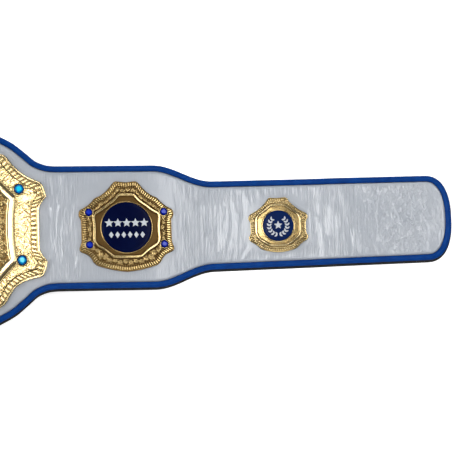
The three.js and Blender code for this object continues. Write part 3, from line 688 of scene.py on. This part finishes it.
def piping_cord():
    quarter = QUARTER[::2]
    upper = quarter * [1, 1, 1, 1]
    lower = quarter[::-1][1:] * [1, -1, 1, -1]
    right = np.concatenate([upper, lower])
    left = right[::-1][1:-1] * [-1, 1, -1, 1]
    path = np.concatenate([right, left])
    sides = 20
    angle = np.arange(sides) / sides * 2 * np.pi
    length = np.concatenate([[0], np.cumsum(np.hypot(*np.diff(path[:, :2], axis=0).T))])
    swell = 1 - 0.03 * noise(length / 9, length * 0 + 0.5, 9)
    wide = PIPING_WIDTH / 2
    tall = PIPING_HEIGHT / 2
    # flatter below, where it is sewn down, and rounder above
    around = np.cos(angle)
    up = np.where(np.sin(angle) < 0, np.sin(angle) * 0.98, np.sin(angle))
    inwards = wide + wide * swell[:, None] * around
    middle = BACK_THICKNESS + FIT + tall
    h = middle + tall * swell[:, None] * up
    s = path[:, 0:1] + path[:, 2:3] * inwards
    y = path[:, 1:2] + path[:, 3:4] * inwards
    loops = place(s, y, h)
    faces = grid_faces(len(path), sides, closed_rows=True)
    piece = make_object("piping_cord", loops, faces, BLUE_PIPING)
    return finish_piece(piece, "blue_piping", "piping")


# Plates


def outline_loop(rows, width, height, spacing=1.0):
    """A closed loop of points, both halves, running anticlockwise."""
    half = []
    for (x1, y1, bow), (x2, y2, _) in zip(rows, rows[1:]):
        a = np.array([x1 * width, y1 * height]) / 2
        way = np.array([x2 * width, y2 * height]) / 2 - a
        outwards = np.array([-way[1], way[0]])
        steps = max(2, round(np.hypot(*way) / spacing))
        for t in np.arange(steps) / steps:
            half.append(a + way * t + outwards * (4 * t * (1 - t) * bow))
    half = np.array(half)
    bottom = np.array([[0, rows[-1][1] * height / 2]])
    mirrored = half[:0:-1] * [-1, 1]
    return np.concatenate([half, bottom, mirrored])[::-1]


def round_corners(loop, passes):
    """Softens a loop's corners a little, as casting does."""
    for _ in range(passes):
        loop = loop * 0.5 + (np.roll(loop, 1, 0) + np.roll(loop, -1, 0)) * 0.25
    return loop


def evenly(loop, count):
    closed = np.concatenate([loop, loop[:1]])
    length = np.concatenate([[0], np.cumsum(np.hypot(*np.diff(closed, axis=0).T))])
    at = np.arange(count) / count * length[-1]
    return np.stack([np.interp(at, length, closed[:, k]) for k in (0, 1)], -1), length[-1]


def distance_to(points, loop):
    """Distance of each point from the nearest side of a loop."""
    flat = points.reshape(-1, 2)
    best = np.full(len(flat), np.inf)
    for a, b in zip(loop, np.roll(loop, -1, 0)):
        way = b - a
        t = np.clip(((flat - a) @ way) / (way @ way), 0, 1)
        off = flat - a - t[:, None] * way
        best = np.minimum(best, np.einsum("ij,ij->i", off, off))
    return np.sqrt(best).reshape(points.shape[:-1])


def reach(loop, centre, angles):
    """How far each ray from the centre goes to the loop."""
    at = np.unwrap(np.arctan2(loop[:, 1] - centre[1], loop[:, 0] - centre[0]))
    radius = np.hypot(loop[:, 0] - centre[0], loop[:, 1] - centre[1])
    turn = 2 * np.pi
    at = np.concatenate([at - turn, at, at + turn])
    radius = np.tile(radius, 3)
    order = np.argsort(at)
    return np.interp(angles, at[order], radius[order])


def box_between(value, low, high, soft):
    return smooth(low - soft / 2, low + soft / 2, value) * smooth(high + soft / 2, high - soft / 2, value)


def scrolls(along, across, half_width):
    """A running vine with curled branches and berries, from 0 on its ground to 1 on its stems."""
    period = 3.3 * half_width
    quarter = period / 4
    x = np.mod(along, period)
    lines = []
    wave = np.linspace(-0.15 * period, 1.15 * period, 46)
    lines.append(np.stack([wave, 0.72 * half_width * np.sin(2 * np.pi * wave / period)], -1))
    for middle, up in ((quarter, 1), (3 * quarter, -1)):
        turn = np.linspace(0, 1, 30)
        angle = np.pi * (1.02 - 2.9 * turn)
        radius = half_width * (0.6 - 0.46 * turn)
        spiral = np.stack([middle + radius * np.cos(angle), up * (radius * np.sin(angle) - 0.14 * half_width)], -1)
        lines.append(spiral)
        for side in (-1, 1):
            leaf_turn = np.linspace(0, 1, 8)
            leaf_x = middle + side * half_width * (0.3 + 0.5 * leaf_turn)
            leaf_y = up * half_width * (0.78 + 0.18 * np.sin(np.pi * leaf_turn))
            lines.append(np.stack([leaf_x, leaf_y], -1))
    best = np.full(x.shape, np.inf)
    for line in lines:
        for a, b in zip(line, line[1:]):
            way = b - a
            dx, dy = x - a[0], across - a[1]
            t = np.clip((dx * way[0] + dy * way[1]) / (way @ way), 0, 1)
            best = np.minimum(best, (dx - t * way[0]) ** 2 + (dy - t * way[1]) ** 2)
    stem = 0.13 * half_width
    height = np.exp(-best / stem**2)
    for middle, up in ((quarter, 1), (3 * quarter, -1)):
        berry = (x - middle) ** 2 + (across + up * 0.14 * half_width) ** 2
        height = np.maximum(height, np.sqrt(np.clip(1 - berry / (0.2 * half_width) ** 2, 0, 1)))
    return height


def plate_fields(spec, edge_rows, frame_rows, around, across):
    """The plate's grid of points from its edge to its disc's seat, with what the relief needs."""
    centre = np.array([0, -DISC_DROP])
    loop = round_corners(outline_loop(edge_rows, spec["width"], spec["height"]), 3)
    edge, perimeter = evenly(loop, around)
    frame_loop = round_corners(outline_loop(frame_rows, spec["width"], spec["height"]), 4)
    away = edge - centre
    radius = np.hypot(away[:, 0], away[:, 1])
    angle = np.unwrap(np.arctan2(away[:, 1], away[:, 0]))
    seat = spec["disc"] / 2 + FIT
    share = np.linspace(0, 1, across + 1)
    r = radius[:, None] * (1 - share) + seat * share
    points = centre + r[..., None] * (away / radius[:, None])[:, None, :]
    to_frame = reach(frame_loop, centre, angle)
    inside = r < to_frame[:, None]
    thin = evenly(loop, 260)[0]
    thin_frame = evenly(frame_loop, 200)[0]
    ridge = distance_to(points, thin_frame) * np.where(inside, -1, 1)
    return dict(
        points=points,
        r=r,
        radius=radius[:, None] + 0 * r,
        edge=distance_to(points, thin),
        ridge=ridge,
        disc=r - spec["disc"] / 2,
        along=np.arange(around)[:, None] / around * perimeter + 0 * r,
        perimeter=perimeter,
        to_frame=to_frame[:, None] + 0 * r,
    )


def teeth(fields, pitch, width, low, high, soft):
    """Flat-topped blocks side by side round the edge, each as wide as width and with soft sides."""
    count = round(fields["perimeter"] / pitch)
    off = np.abs(np.mod(fields["along"] / fields["perimeter"] * count, 1) - 0.5) * pitch
    block = smooth(width / 2 + soft / 2, width / 2 - soft / 2, off)
    return block * box_between(fields["edge"], low, high, soft)


def beads(fields, pitch, field, middle, radius):
    """A row of small round beads along a line of one of the fields."""
    count = round(fields["perimeter"] / pitch)
    along = (np.mod(fields["along"] / fields["perimeter"] * count, 1) - 0.5) * pitch
    off = (fields[field] - middle) ** 2 + along**2
    return np.sqrt(np.clip(1 - off / radius**2, 0, 1))


def band(fields, outer, inner):
    """-1 to 1 across the band between two radii, and 1 inside it."""
    middle, half = (outer + inner) / 2, (outer - inner) / 2
    return (middle - fields["r"]) / half


def vine(fields, outer, inner, half_width):
    count = round(fields["perimeter"] / (3.3 * half_width))
    along = fields["along"] / fields["perimeter"] * count * 3.3 * half_width
    across = band(fields, outer, inner) * half_width
    return scrolls(along, across, half_width)


def ground(fields, size, layer):
    x, y = fields["points"][..., 0], fields["points"][..., 1]
    return noise(x / size + 40, y / size + 40, layer)


def main_relief(f):
    """Height over the plate's back, and the main plate's polish together with the painted shade in its recesses."""
    stipple = ground(f, 0.9, 10)
    radius_in = f["to_frame"]
    rim = box_between(f["edge"], 0, 2.6, 0.9)
    tooth = teeth(f, 6.3, 5.3, 3.3, 9.9, 1.2)
    outer_field = smooth(10, 11, f["edge"]) * smooth(5.5, 6.5, f["ridge"])
    strokes = ripple(f["along"] / 1.4, f["edge"] / 9, 11) ** 2
    beading = beads(f, 2.6, "ridge", 6.4, 1.15)
    ridge = np.sqrt(np.clip(1 - (f["ridge"] / 5.2) ** 4, 0, 1))
    inside = smooth(-4.4, -5.4, f["ridge"]) * smooth(2.8, 3.6, f["disc"])
    scroll = vine(f, radius_in - 5.5, 66 + 3.5, 6.5) * inside
    engraved = vine(f, f["radius"] - 11, radius_in + 7.5, 11.0) * outer_field
    bezel = box_between(f["disc"], 0.3, 2.7, 0.7)
    h = 2.7 + 0.55 * smooth(9.8, 10.8, f["edge"])
    h = h + 0.8 * rim + 0.35 * tooth + 0.4 * beading + 2.1 * ridge
    h = h + 0.1 * stipple * (outer_field + inside) + 0.12 * strokes * outer_field
    h = h + 0.12 * engraved + 0.8 * scroll + 1.6 * bezel - 0.35 * inside
    finish_and_shade = 0.36 + 0.6 * rim + 0.36 * tooth + 0.7 * ridge + 0.7 * bezel + 0.4 * beading
    finish_and_shade = finish_and_shade + outer_field * (0.24 + 0.14 * engraved + 0.12 * (stipple - 0.5))
    finish_and_shade = finish_and_shade + inside * (0.4 * scroll - 0.1 + 0.2 * (stipple - 0.5))
    return h, finish_and_shade


def inner_relief(f):
    stipple = ground(f, 0.7, 12)
    rim = box_between(f["edge"], 0.3, 1.1, 0.4)
    tooth = teeth(f, 3.2, 1.9, 1.5, 6.0, 0.5)
    row = beads(f, 3.2, "edge", 7.4, 1.0)
    field = smooth(8.0, 8.6, f["edge"]) * smooth(2.6, 3.2, f["ridge"])
    ridge = smooth(2.4, 1.0, np.abs(f["ridge"]))
    recess = smooth(-2.2, -2.8, f["ridge"]) * smooth(1.6, 2.1, f["disc"])
    scroll = smooth(0.3, 0.62, vine(f, f["radius"] - 8.4, f["to_frame"] + 3.0, 5.2)) * field
    bezel = box_between(f["disc"], 0.2, 1.4, 0.5)
    h = 1.75 + 0.5 * rim + 0.5 * tooth + 0.4 * row + 1.8 * ridge
    h = h + field * (0.05 + 0.1 * stipple) + 0.5 * scroll + recess * 0.25 + 0.9 * bezel
    finish_and_shade = 0.02 + 0.6 * rim + 0.8 * tooth + 0.55 * row + 0.95 * ridge + 0.7 * bezel
    finish_and_shade = finish_and_shade + field * (0.05 + 0.2 * (stipple - 0.4)) + 0.7 * scroll + recess * 0.12
    # painted shade: scaling this down darkens the inner plates' gold all over, standing in for how little light they
    # reflect
    return h, 0.7 * finish_and_shade


def outer_relief(f):
    stipple = ground(f, 0.6, 13)
    rim = box_between(f["edge"], 0, 1.2, 0.5)
    tooth = teeth(f, 3.0, 1.8, 1.5, 4.2, 0.5)
    field = smooth(4.2, 4.7, f["edge"]) * smooth(1.8, 2.3, f["ridge"])
    ridge = smooth(1.8, 0.7, np.abs(f["ridge"]))
    recess = smooth(-1.6, -2.0, f["ridge"]) * smooth(1.2, 1.7, f["disc"])
    scroll = smooth(0.3, 0.62, vine(f, f["radius"] - 4.6, f["to_frame"] + 2.0, 3.6)) * field
    bezel = box_between(f["disc"], 0.2, 1.1, 0.4)
    h = 1.55 + 0.5 * rim + 0.4 * tooth + 1.3 * ridge
    h = h + field * (0.15 + 0.1 * stipple) + 0.35 * scroll + recess * 0.3 + 0.8 * bezel
    finish_and_shade = 0.05 + 0.8 * rim + 0.8 * tooth + 0.9 * ridge + 0.85 * bezel
    finish_and_shade = finish_and_shade + field * (0.25 + 0.3 * (stipple - 0.4)) + 0.6 * scroll + recess * 0.45
    return h, finish_and_shade


def stone_places(spec, rows):
    return [(x * spec["width"] / 2, y * spec["height"] / 2) for x, y in rows]


def cast_plate(name, node, spec, edge_rows, frame_rows, relief, size, middle, mirrored, rows, stone_spec):
    f = plate_fields(spec, edge_rows, frame_rows, *size)
    h, finish_and_shade = relief(f)
    crown = spec["crown"] * np.clip(1 - (f["r"] / f["radius"]) ** 2, 0, 1)
    h = h + crown
    points = f["points"]
    for x, y in stone_places(spec, rows):
        away = np.hypot(points[..., 0] - x, points[..., 1] - y)
        radius = stone_spec["diameter"] / 2
        collet = box_between(away, radius + 0.3, radius + 1.5, 0.6)
        pocket = smooth(radius + 0.7, radius + 0.1, away)
        base = 2.6 if spec is INNER else 3.5
        h = np.where(away < radius + 2, h * (1 - collet) + (base + 0.7) * collet, h)
        h = h * (1 - pocket) + stone_spec["depth"] * pocket
        finish_and_shade = np.maximum(finish_and_shade, collet * 0.9)
    side = -1 if mirrored else 1
    around, across = h.shape
    x, y = points[..., 0], points[..., 1] - spec["drop"]
    top = place(side * (middle + x), y, PLATE_BASE + h)
    wall = place(side * (middle + x[:, 0]), y[:, 0], PLATE_BASE + 0 * h[:, 0])
    seat_wall = place(side * (middle + x[:, -1]), y[:, -1], PLATE_BASE + spec["seat"] + 0 * h[:, 0])
    centre = np.array([0, -DISC_DROP])
    rings = [wall[:, None]]
    for share in (0.25, 0.5, 0.75):
        back = points[:, 0] * (1 - share) + centre * share
        ring = place(side * (middle + back[:, 0]), back[:, 1] - spec["drop"], PLATE_BASE + 0 * h[:, 0])
        rings.insert(0, ring[:, None])
    rings += [top, seat_wall[:, None]]
    for share in (0.4, 0.75):
        seat = points[:, -1] * (1 - share) + centre * share
        ring = place(side * (middle + seat[:, 0]), seat[:, 1] - spec["drop"], PLATE_BASE + spec["seat"] + 0 * h[:, 0])
        rings.append(ring[:, None])
    loops = np.concatenate(rings, axis=1)
    rows_count, columns = loops.shape[:2]
    faces = grid_faces(rows_count, columns, closed_rows=True, closed_columns=False)
    middle_y = centre[1] - spec["drop"]
    ends = [place(side * middle, middle_y, PLATE_BASE), place(side * middle, middle_y, PLATE_BASE + spec["seat"])]
    flat = np.concatenate([loops.reshape(-1, 3), np.array(ends).reshape(-1, 3)])
    first = np.arange(rows_count) * columns
    total = rows_count * columns
    faces += fan_faces(total, first.tolist(), flipped=True)
    faces += fan_faces(total + 1, (first + columns - 1).tolist())
    if mirrored:
        faces = [face[::-1] for face in faces]
    piece = make_object(name, flat, faces, GOLD)
    before, after = 4, 3
    # these values set both the gold's polish and its painted shade
    values = np.concatenate([np.full((around, before), 0.5), finish_and_shade, np.full((around, after), 0.3)], 1)
    set_attribute(piece, "finish_and_shade", np.concatenate([np.clip(values, 0, 1).ravel(), [0.4, 0.4]]))
    return finish_piece(piece, "gold_plate", node)


def disc(name, node, spec, middle, side, enamel):
    """A disc with a rounded edge and a face that swells a little."""
    sides = 128
    base = PLATE_BASE + spec["seat"] + FIT
    top = spec["disc_thickness"]
    radius = spec["disc"] / 2
    profile = [(0.5, 0), (0.985, 0), (1, 0.25), (1, top - 0.45), (0.994, top - 0.15), (0.98, top)]
    profile += [(share, top + 0.12 * (1 - share**2)) for share in (0.9, 0.75, 0.5, 0.25)]
    angle = np.arange(sides) / sides * 2 * np.pi
    centre_y = -DISC_DROP - spec["drop"]
    rings = []
    for share, h in profile:
        ring_s = middle + radius * share * np.cos(angle)
        rings.append(place(side * ring_s, radius * share * np.sin(angle) + centre_y, base + h + 0 * angle))
    loops = np.stack(rings, 0)
    faces = grid_faces(len(profile), sides)
    ends = [place(side * middle, centre_y, base), place(side * middle, centre_y, base + top + 0.12)]
    flat = np.concatenate([loops.reshape(-1, 3), np.array(ends).reshape(-1, 3)])
    total = len(profile) * sides
    faces += fan_faces(total, list(range(sides)), flipped=True)
    faces += fan_faces(total + 1, list(range(total - sides, total)))
    if side < 0:
        faces = [face[::-1] for face in faces]
    piece = make_object(name, flat, faces, enamel)
    return finish_piece(piece, "navy_enamel", node)


# Devices on the discs: plain stars, lozenges, bars and laurel leaves


def star(x, y, radius, inner=0.42):
    angle = np.pi / 2 + np.arange(10) * np.pi / 5
    length = np.where(np.arange(10) % 2 == 0, radius, radius * inner)
    return np.stack([x + length * np.cos(angle), y + length * np.sin(angle)], -1)


def lozenge(x, y, width, height):
    return np.array([[x + width / 2, y], [x, y + height / 2], [x - width / 2, y], [x, y - height / 2]])


def bar(x, y, width, height):
    w, h = width / 2, height / 2
    return np.array([[x + w, y - h], [x + w, y + h], [x - w, y + h], [x - w, y - h]])


def leaf(x, y, length, width, angle):
    t = np.linspace(0, 1, 7)
    side = width / 2 * np.sin(np.pi * t**0.8)
    along = length * (t - 0.5)
    outline = np.concatenate([np.stack([along, -side], -1), np.stack([along, side], -1)[-2:0:-1]])
    turn = np.array([[np.cos(angle), np.sin(angle)], [-np.sin(angle), np.cos(angle)]])
    return outline @ turn + [x, y]


def inner_device():
    """Five stars in a row over a row of six lozenges."""
    shapes = [star(x, 5.6, 5.9, 0.46) for x in np.arange(-22.4, 23, 11.2)]
    shapes += [lozenge(x, -9.6, 6, 8.4) for x in np.arange(-20, 21, 8)]
    return shapes


def outer_device():
    """A star in a wreath of two laurel branches that rise from below it."""
    shapes = [star(0, 0.6, 5.6, 0.46)]
    for side in (-1, 1):
        for k in range(7):
            angle = -math.pi / 2 + side * (0.26 + k * 0.36)
            for off, turn in ((1.5, 0.75), (-1.5, -0.75)):
                radius = 11.6 + off
                x, y = radius * math.cos(angle), radius * math.sin(angle)
                shapes.append(leaf(x, y, 4.6, 2.3, angle + side * (math.pi / 2 - turn)))
    return shapes


def device(name, spec, shapes, middle, side):
    """Thin flat shapes laid on a disc's face."""
    base = PLATE_BASE + spec["seat"] + FIT + spec["disc_thickness"] + 0.04
    thickness = 0.16
    centre_y = -DISC_DROP - spec["drop"]
    radius = spec["disc"] / 2
    points, faces = [], []
    for shape in shapes:
        count = len(shape)
        middle_point = shape.mean(0)
        ring = np.concatenate([shape, shape, [middle_point]])
        swell = 0.12 * (1 - (np.hypot(ring[:, 0], ring[:, 1]) / radius) ** 2)
        h = np.concatenate([np.zeros(count), np.full(count + 1, thickness)]) + swell
        first = sum(len(p) for p in points)
        points.append(place(side * middle + ring[:, 0], ring[:, 1] + centre_y, base + h))
        faces += grid_faces(2, count, first=first)
        faces += fan_faces(first + 2 * count, list(range(first + count, first + 2 * count)))
        faces.append(list(range(first, first + count))[::-1])
    piece = make_object(name, np.concatenate(points), faces, WHITE_ENAMEL, smooth_shaded=False)
    return finish_piece(piece, "navy_enamel")


# Stones


def cut_stone(name, node, spec, s, y, material):
    """A round stone with a table, star, kite and girdle facets."""
    radius, height = spec["diameter"] / 2, spec["height"]
    eighth = np.arange(8) * np.pi / 4
    sixteenth = np.arange(16) * np.pi / 8
    ring = lambda r, h, angle: np.stack([r * np.cos(angle), r * np.sin(angle), h + 0 * angle], -1)
    table = ring(radius * 0.56, height, eighth)
    crown = ring(radius * 0.8, height * 0.84, eighth + np.pi / 8)
    girdle = ring(radius, height * 0.56, sixteenth)
    waist = ring(radius, height * 0.46, sixteenth)
    foot = ring(radius * 0.6, 0.0, sixteenth)
    local = np.concatenate([table, crown, girdle, waist, foot])
    t, c, g, w, b = 0, 8, 16, 32, 48
    # the values below pick each face's painted brightness, standing in for reflections and shade inside the stone
    faces, facets = [list(range(8))], [1.0]
    for k in range(8):
        after, before = (k + 1) % 8, (k - 1) % 8
        faces.append([t + k, c + k, t + after])
        facets.append(0.62 + 0.12 * (k % 2))
        faces.append([t + k, c + before, g + 2 * k, c + k])
        facets.append(0.4 + 0.14 * ((k + 1) % 2))
        faces.append([c + k, g + 2 * k, g + 2 * k + 1])
        facets.append(0.16)
        faces.append([c + k, g + 2 * k + 1, g + (2 * k + 2) % 16])
        facets.append(0.06)
    for low, high in ((w, g), (b, w)):
        for k in range(16):
            faces.append([low + k, low + (k + 1) % 16, high + (k + 1) % 16, high + k])
            facets.append(0.0)
    faces.append(list(range(b, b + 16))[::-1])
    facets.append(0.0)
    x, z, heading = spot(s)
    floor = PLATE_BASE + spec["depth"] + FIT
    origin = place(s, y, floor)
    cos, sin = math.cos(heading), math.sin(heading)
    turn = np.array([[cos, 0, sin], [0, 1, 0], [-sin, 0, cos]])
    points = local * MM @ turn + origin
    piece = make_object(name, points, faces, material, smooth_shaded=False)
    attribute = piece.data.attributes.new("painted_facet_light", "FLOAT", "FACE")
    attribute.data.foreach_set("value", np.array(facets, np.float32))
    slot = "light_blue_glass" if spec is MAIN_STONE else "blue_glass"
    return finish_piece(piece, slot, node)


# Closure


def closure_patch(name, node, start, low, high):
    """A napped patch: loops stand up all over its face."""
    nap = 0.25
    columns, rows = 100, 62
    t = np.linspace(-1, 1, columns)
    u = np.linspace(-1, 1, rows)
    tt, uu = np.meshgrid(t, u, indexing="ij")
    half_length, half_width = PATCH_LENGTH / 2, PATCH_WIDTH / 2
    # the corners are pulled in to their radius
    x, y = tt * half_length, uu * half_width
    over_x = np.clip(np.abs(x) - (half_length - PATCH_CORNER), 0, None)
    over_y = np.clip(np.abs(y) - (half_width - PATCH_CORNER), 0, None)
    longest = np.maximum(over_x, over_y)
    length = np.hypot(over_x, over_y)
    pull = np.where(length > 0, longest / np.where(length > 0, length, 1), 1)
    x = np.sign(x) * (np.minimum(np.abs(x), half_length - PATCH_CORNER) + over_x * pull)
    y = np.sign(y) * (np.minimum(np.abs(y), half_width - PATCH_CORNER) + over_y * pull)
    middle = start + half_length
    napped = high if high > 0 else low
    flat = low if high > 0 else high
    fur = nap * noise(x / 0.9, y / 0.9, 14) * (1 if high > 0 else -1)
    face = place(middle + x, y, napped - nap * (1 if high > 0 else -1) + fur)
    back = place(middle + x, y, flat + 0 * x)
    first, second = (back, face) if high > 0 else (face, back)
    count = columns * rows
    points = np.concatenate([first.reshape(-1, 3), second.reshape(-1, 3)])
    under = grid_faces(columns, rows, closed_columns=False)
    over = [[i + count for i in quad[::-1]] for quad in under]
    index = np.arange(count).reshape(columns, rows)
    ring = np.concatenate([index[:-1, 0], index[-1, :-1], index[:0:-1, -1], index[0, :0:-1]])
    walls = [[int(a), int(b), int(b) + count, int(a) + count] for a, b in zip(ring, np.roll(ring, -1))]
    piece = make_object(name, points, under + over + walls, CLOSURE_FABRIC)
    return finish_piece(piece, "closure_fabric", node)


# Assembly

WHITE_LEATHER = white_leather()
BLACK_LEATHER = black_leather()
BLUE_PIPING = blue_piping()
GOLD = gold()
NAVY_ENAMEL = navy_enamel("navy_enamel", (0.0006, 0.0022, 0.026), (0.0014, 0.0045, 0.036))
BRIGHTER_NAVY = navy_enamel("brighter_navy_enamel", (0.003, 0.013, 0.07), (0.005, 0.019, 0.09))
WHITE_ENAMEL = white_enamel()
LIGHT_BLUE_GLASS = stone("light_blue_glass", (0.0, 0.7, 1.0), (0.0, 0.15, 0.55), (0.0, 0.02, 0.12))
BLUE_GLASS = stone("blue_glass", (0.006, 0.035, 0.5), (0.001, 0.01, 0.3), (0.0005, 0.002, 0.05))
CLOSURE_FABRIC = closure_fabric()


def camera():
    """Nearly straight over the belt, a little from its lower edge, turned a little about its view."""
    look_at = np.array([365.6, -5.9, 10.0]) * MM
    distance = 3.0
    elevation = 83 * DEGREE
    roll = -1.98 * DEGREE
    image_width = 458
    pixels_per_metre = 784.5
    back = np.array([0, -math.cos(elevation), math.sin(elevation)])
    up = np.array([0, math.sin(elevation), math.cos(elevation)])
    right = np.array([1.0, 0, 0])
    turned_right = right * math.cos(roll) + up * math.sin(roll)
    turned_up = up * math.cos(roll) - right * math.sin(roll)
    data = bpy.data.cameras.new("camera")
    data.sensor_width = 36.0
    data.sensor_fit = "HORIZONTAL"
    data.lens = pixels_per_metre * distance * data.sensor_width / image_width
    data.clip_end = 50
    rig = bpy.data.objects.new("camera", data)
    matrix = np.eye(4)
    matrix[:3, 0], matrix[:3, 1], matrix[:3, 2] = turned_right, turned_up, back
    matrix[:3, 3] = look_at + back * distance
    rig.matrix_world = Matrix(matrix.tolist())
    bpy.context.scene.collection.objects.link(rig)
    bpy.context.scene.camera = rig


def floor():
    size = 6.0
    points = [(-size, -size, 0), (size, -size, 0), (size, size, 0), (-size, size, 0)]
    material, nodes, links, shader = new_material("pale_floor")
    mottle = noise_node(nodes, links, (2, 2, 2), 2)
    colour = ramp(nodes, links, mottle, [(0.3, grey(0.93)), (0.7, grey(0.96))])
    links.new(colour, shader.inputs["Base Color"])
    shader.inputs["Roughness"].default_value = 0.9
    shader.inputs["Specular IOR Level"].default_value = 0.1
    shader.inputs["Emission Color"].default_value = (1, 1, 1, 1)
    shader.inputs["Emission Strength"].default_value = 0.75
    piece = make_object("floor", points, [[0, 1, 2, 3]], material)
    # the gold mirrors a dark studio and not the bright floor
    piece.visible_glossy = False


def area_light(name, place_at, target, size, radiance):
    """A softbox whose face is as bright as a white surface times radiance."""
    data = bpy.data.lights.new(name, "AREA")
    data.shape = "RECTANGLE"
    data.size, data.size_y = size
    data.energy = radiance * math.pi * size[0] * size[1]
    light = bpy.data.objects.new(name, data)
    position = np.array(place_at, float)
    back = position - np.array(target, float)
    back /= np.linalg.norm(back)
    side = np.cross([0, 1, 0], back)
    side /= np.linalg.norm(side)
    matrix = np.eye(4)
    matrix[:3, 0], matrix[:3, 1], matrix[:3, 2] = side, np.cross(back, side), back
    matrix[:3, 3] = position
    light.matrix_world = Matrix(matrix.tolist())
    bpy.context.scene.collection.objects.link(light)
    return light


def lights():
    world = bpy.data.worlds.new("studio")
    bpy.context.scene.world = world
    world.use_nodes = True
    background = world.node_tree.nodes["Background"]
    background.inputs["Color"].default_value = (0.95, 0.97, 1.0, 1)
    background.inputs["Strength"].default_value = 0.12
    area_light("over_main", (0.3, 0.17, 1.45), (0.3, 0.17, 0), (0.24, 0.13), 7.5)
    area_light("over_wide", (0.1, 0.19, 1.5), (0.1, 0.19, 0), (0.6, 1.3), 0.2)
    area_light("over_right", (0.92, 0.2, 1.5), (0.4, 0, 0), (0.24, 0.6), 4.5)
    area_light("right", (2.5, 0.2, 1.2), (0.35, 0, 0), (0.8, 1.5), 2)
    area_light("back", (0.35, 2.1, 1.5), (0.3, 0, 0), (1.8, 0.8), 2.5)
    area_light("front", (0.5, -2.2, 1.4), (0.3, 0, 0), (1.8, 0.8), 2.5)
    area_light("left", (-2.2, 0.2, 2.3), (0.3, 0, 0), (2.2, 2.6), 2.7)
    fill = area_light("fill", (0.5, 0, 0.75), (0.5, 0, 0), (0.4, 0.4), 3.6)
    fill.visible_glossy = False  # it lifts the leather and the metal does not mirror it


def build():
    front_panel()
    back_panel()
    piping_cord()
    cast_plate(
        "main_plate_cast", "main_plate", MAIN, MAIN_EDGE, MAIN_FRAME, main_relief,
        (900, 100), 0, False, MAIN_STONES, MAIN_STONE,
    )
    disc("main_disc_face", "main_disc", MAIN, 0, 1, NAVY_ENAMEL)
    for k, (x, y) in enumerate(stone_places(MAIN, MAIN_STONES)):
        cut_stone(f"main_stone_{k + 1}", f"main_gem_{k + 1}", MAIN_STONE, x, y - MAIN["drop"], LIGHT_BLUE_GLASS)
    for word, side in (("right", 1), ("left", -1)):
        cast_plate(
            f"inner_plate_cast_{word}", f"inner_plate_{word}", INNER, INNER_EDGE, INNER_FRAME, inner_relief,
            (1100, 68), INNER_MIDDLE, side < 0, INNER_STONES, INNER_STONE,
        )
        disc(f"inner_disc_face_{word}", f"inner_disc_{word}", INNER, INNER_MIDDLE, side, NAVY_ENAMEL)
        device(f"inner_device_{word}", INNER, inner_device(), INNER_MIDDLE, side)
        for k, (x, y) in enumerate(stone_places(INNER, INNER_STONES)):
            s = side * (INNER_MIDDLE + x)
            cut_stone(f"inner_stone_{word}_{k + 1}", f"inner_gem_{word}_{k + 1}", INNER_STONE, s, y - INNER["drop"], BLUE_GLASS)
        cast_plate(
            f"outer_plate_cast_{word}", f"outer_plate_{word}", OUTER, OUTER_EDGE, OUTER_FRAME, outer_relief,
            (520, 40), OUTER_MIDDLE, side < 0, [], None,
        )
        disc(f"outer_disc_face_{word}", f"outer_disc_{word}", OUTER, OUTER_MIDDLE, side, BRIGHTER_NAVY)
        device(f"outer_device_{word}", OUTER, outer_device(), OUTER_MIDDLE, side)
    closure_patch("hook_patch_nap", "closure_hook_patch", PATCH_START, -FIT - PATCH_THICKNESS, -FIT)
    closure_patch("loop_patch_nap", "closure_loop_patch", -PATCH_END, PLATE_BASE, PLATE_BASE + PATCH_THICKNESS)


bpy.context.scene.view_settings.view_transform = "Standard"
camera()
build()
floor()
lights()
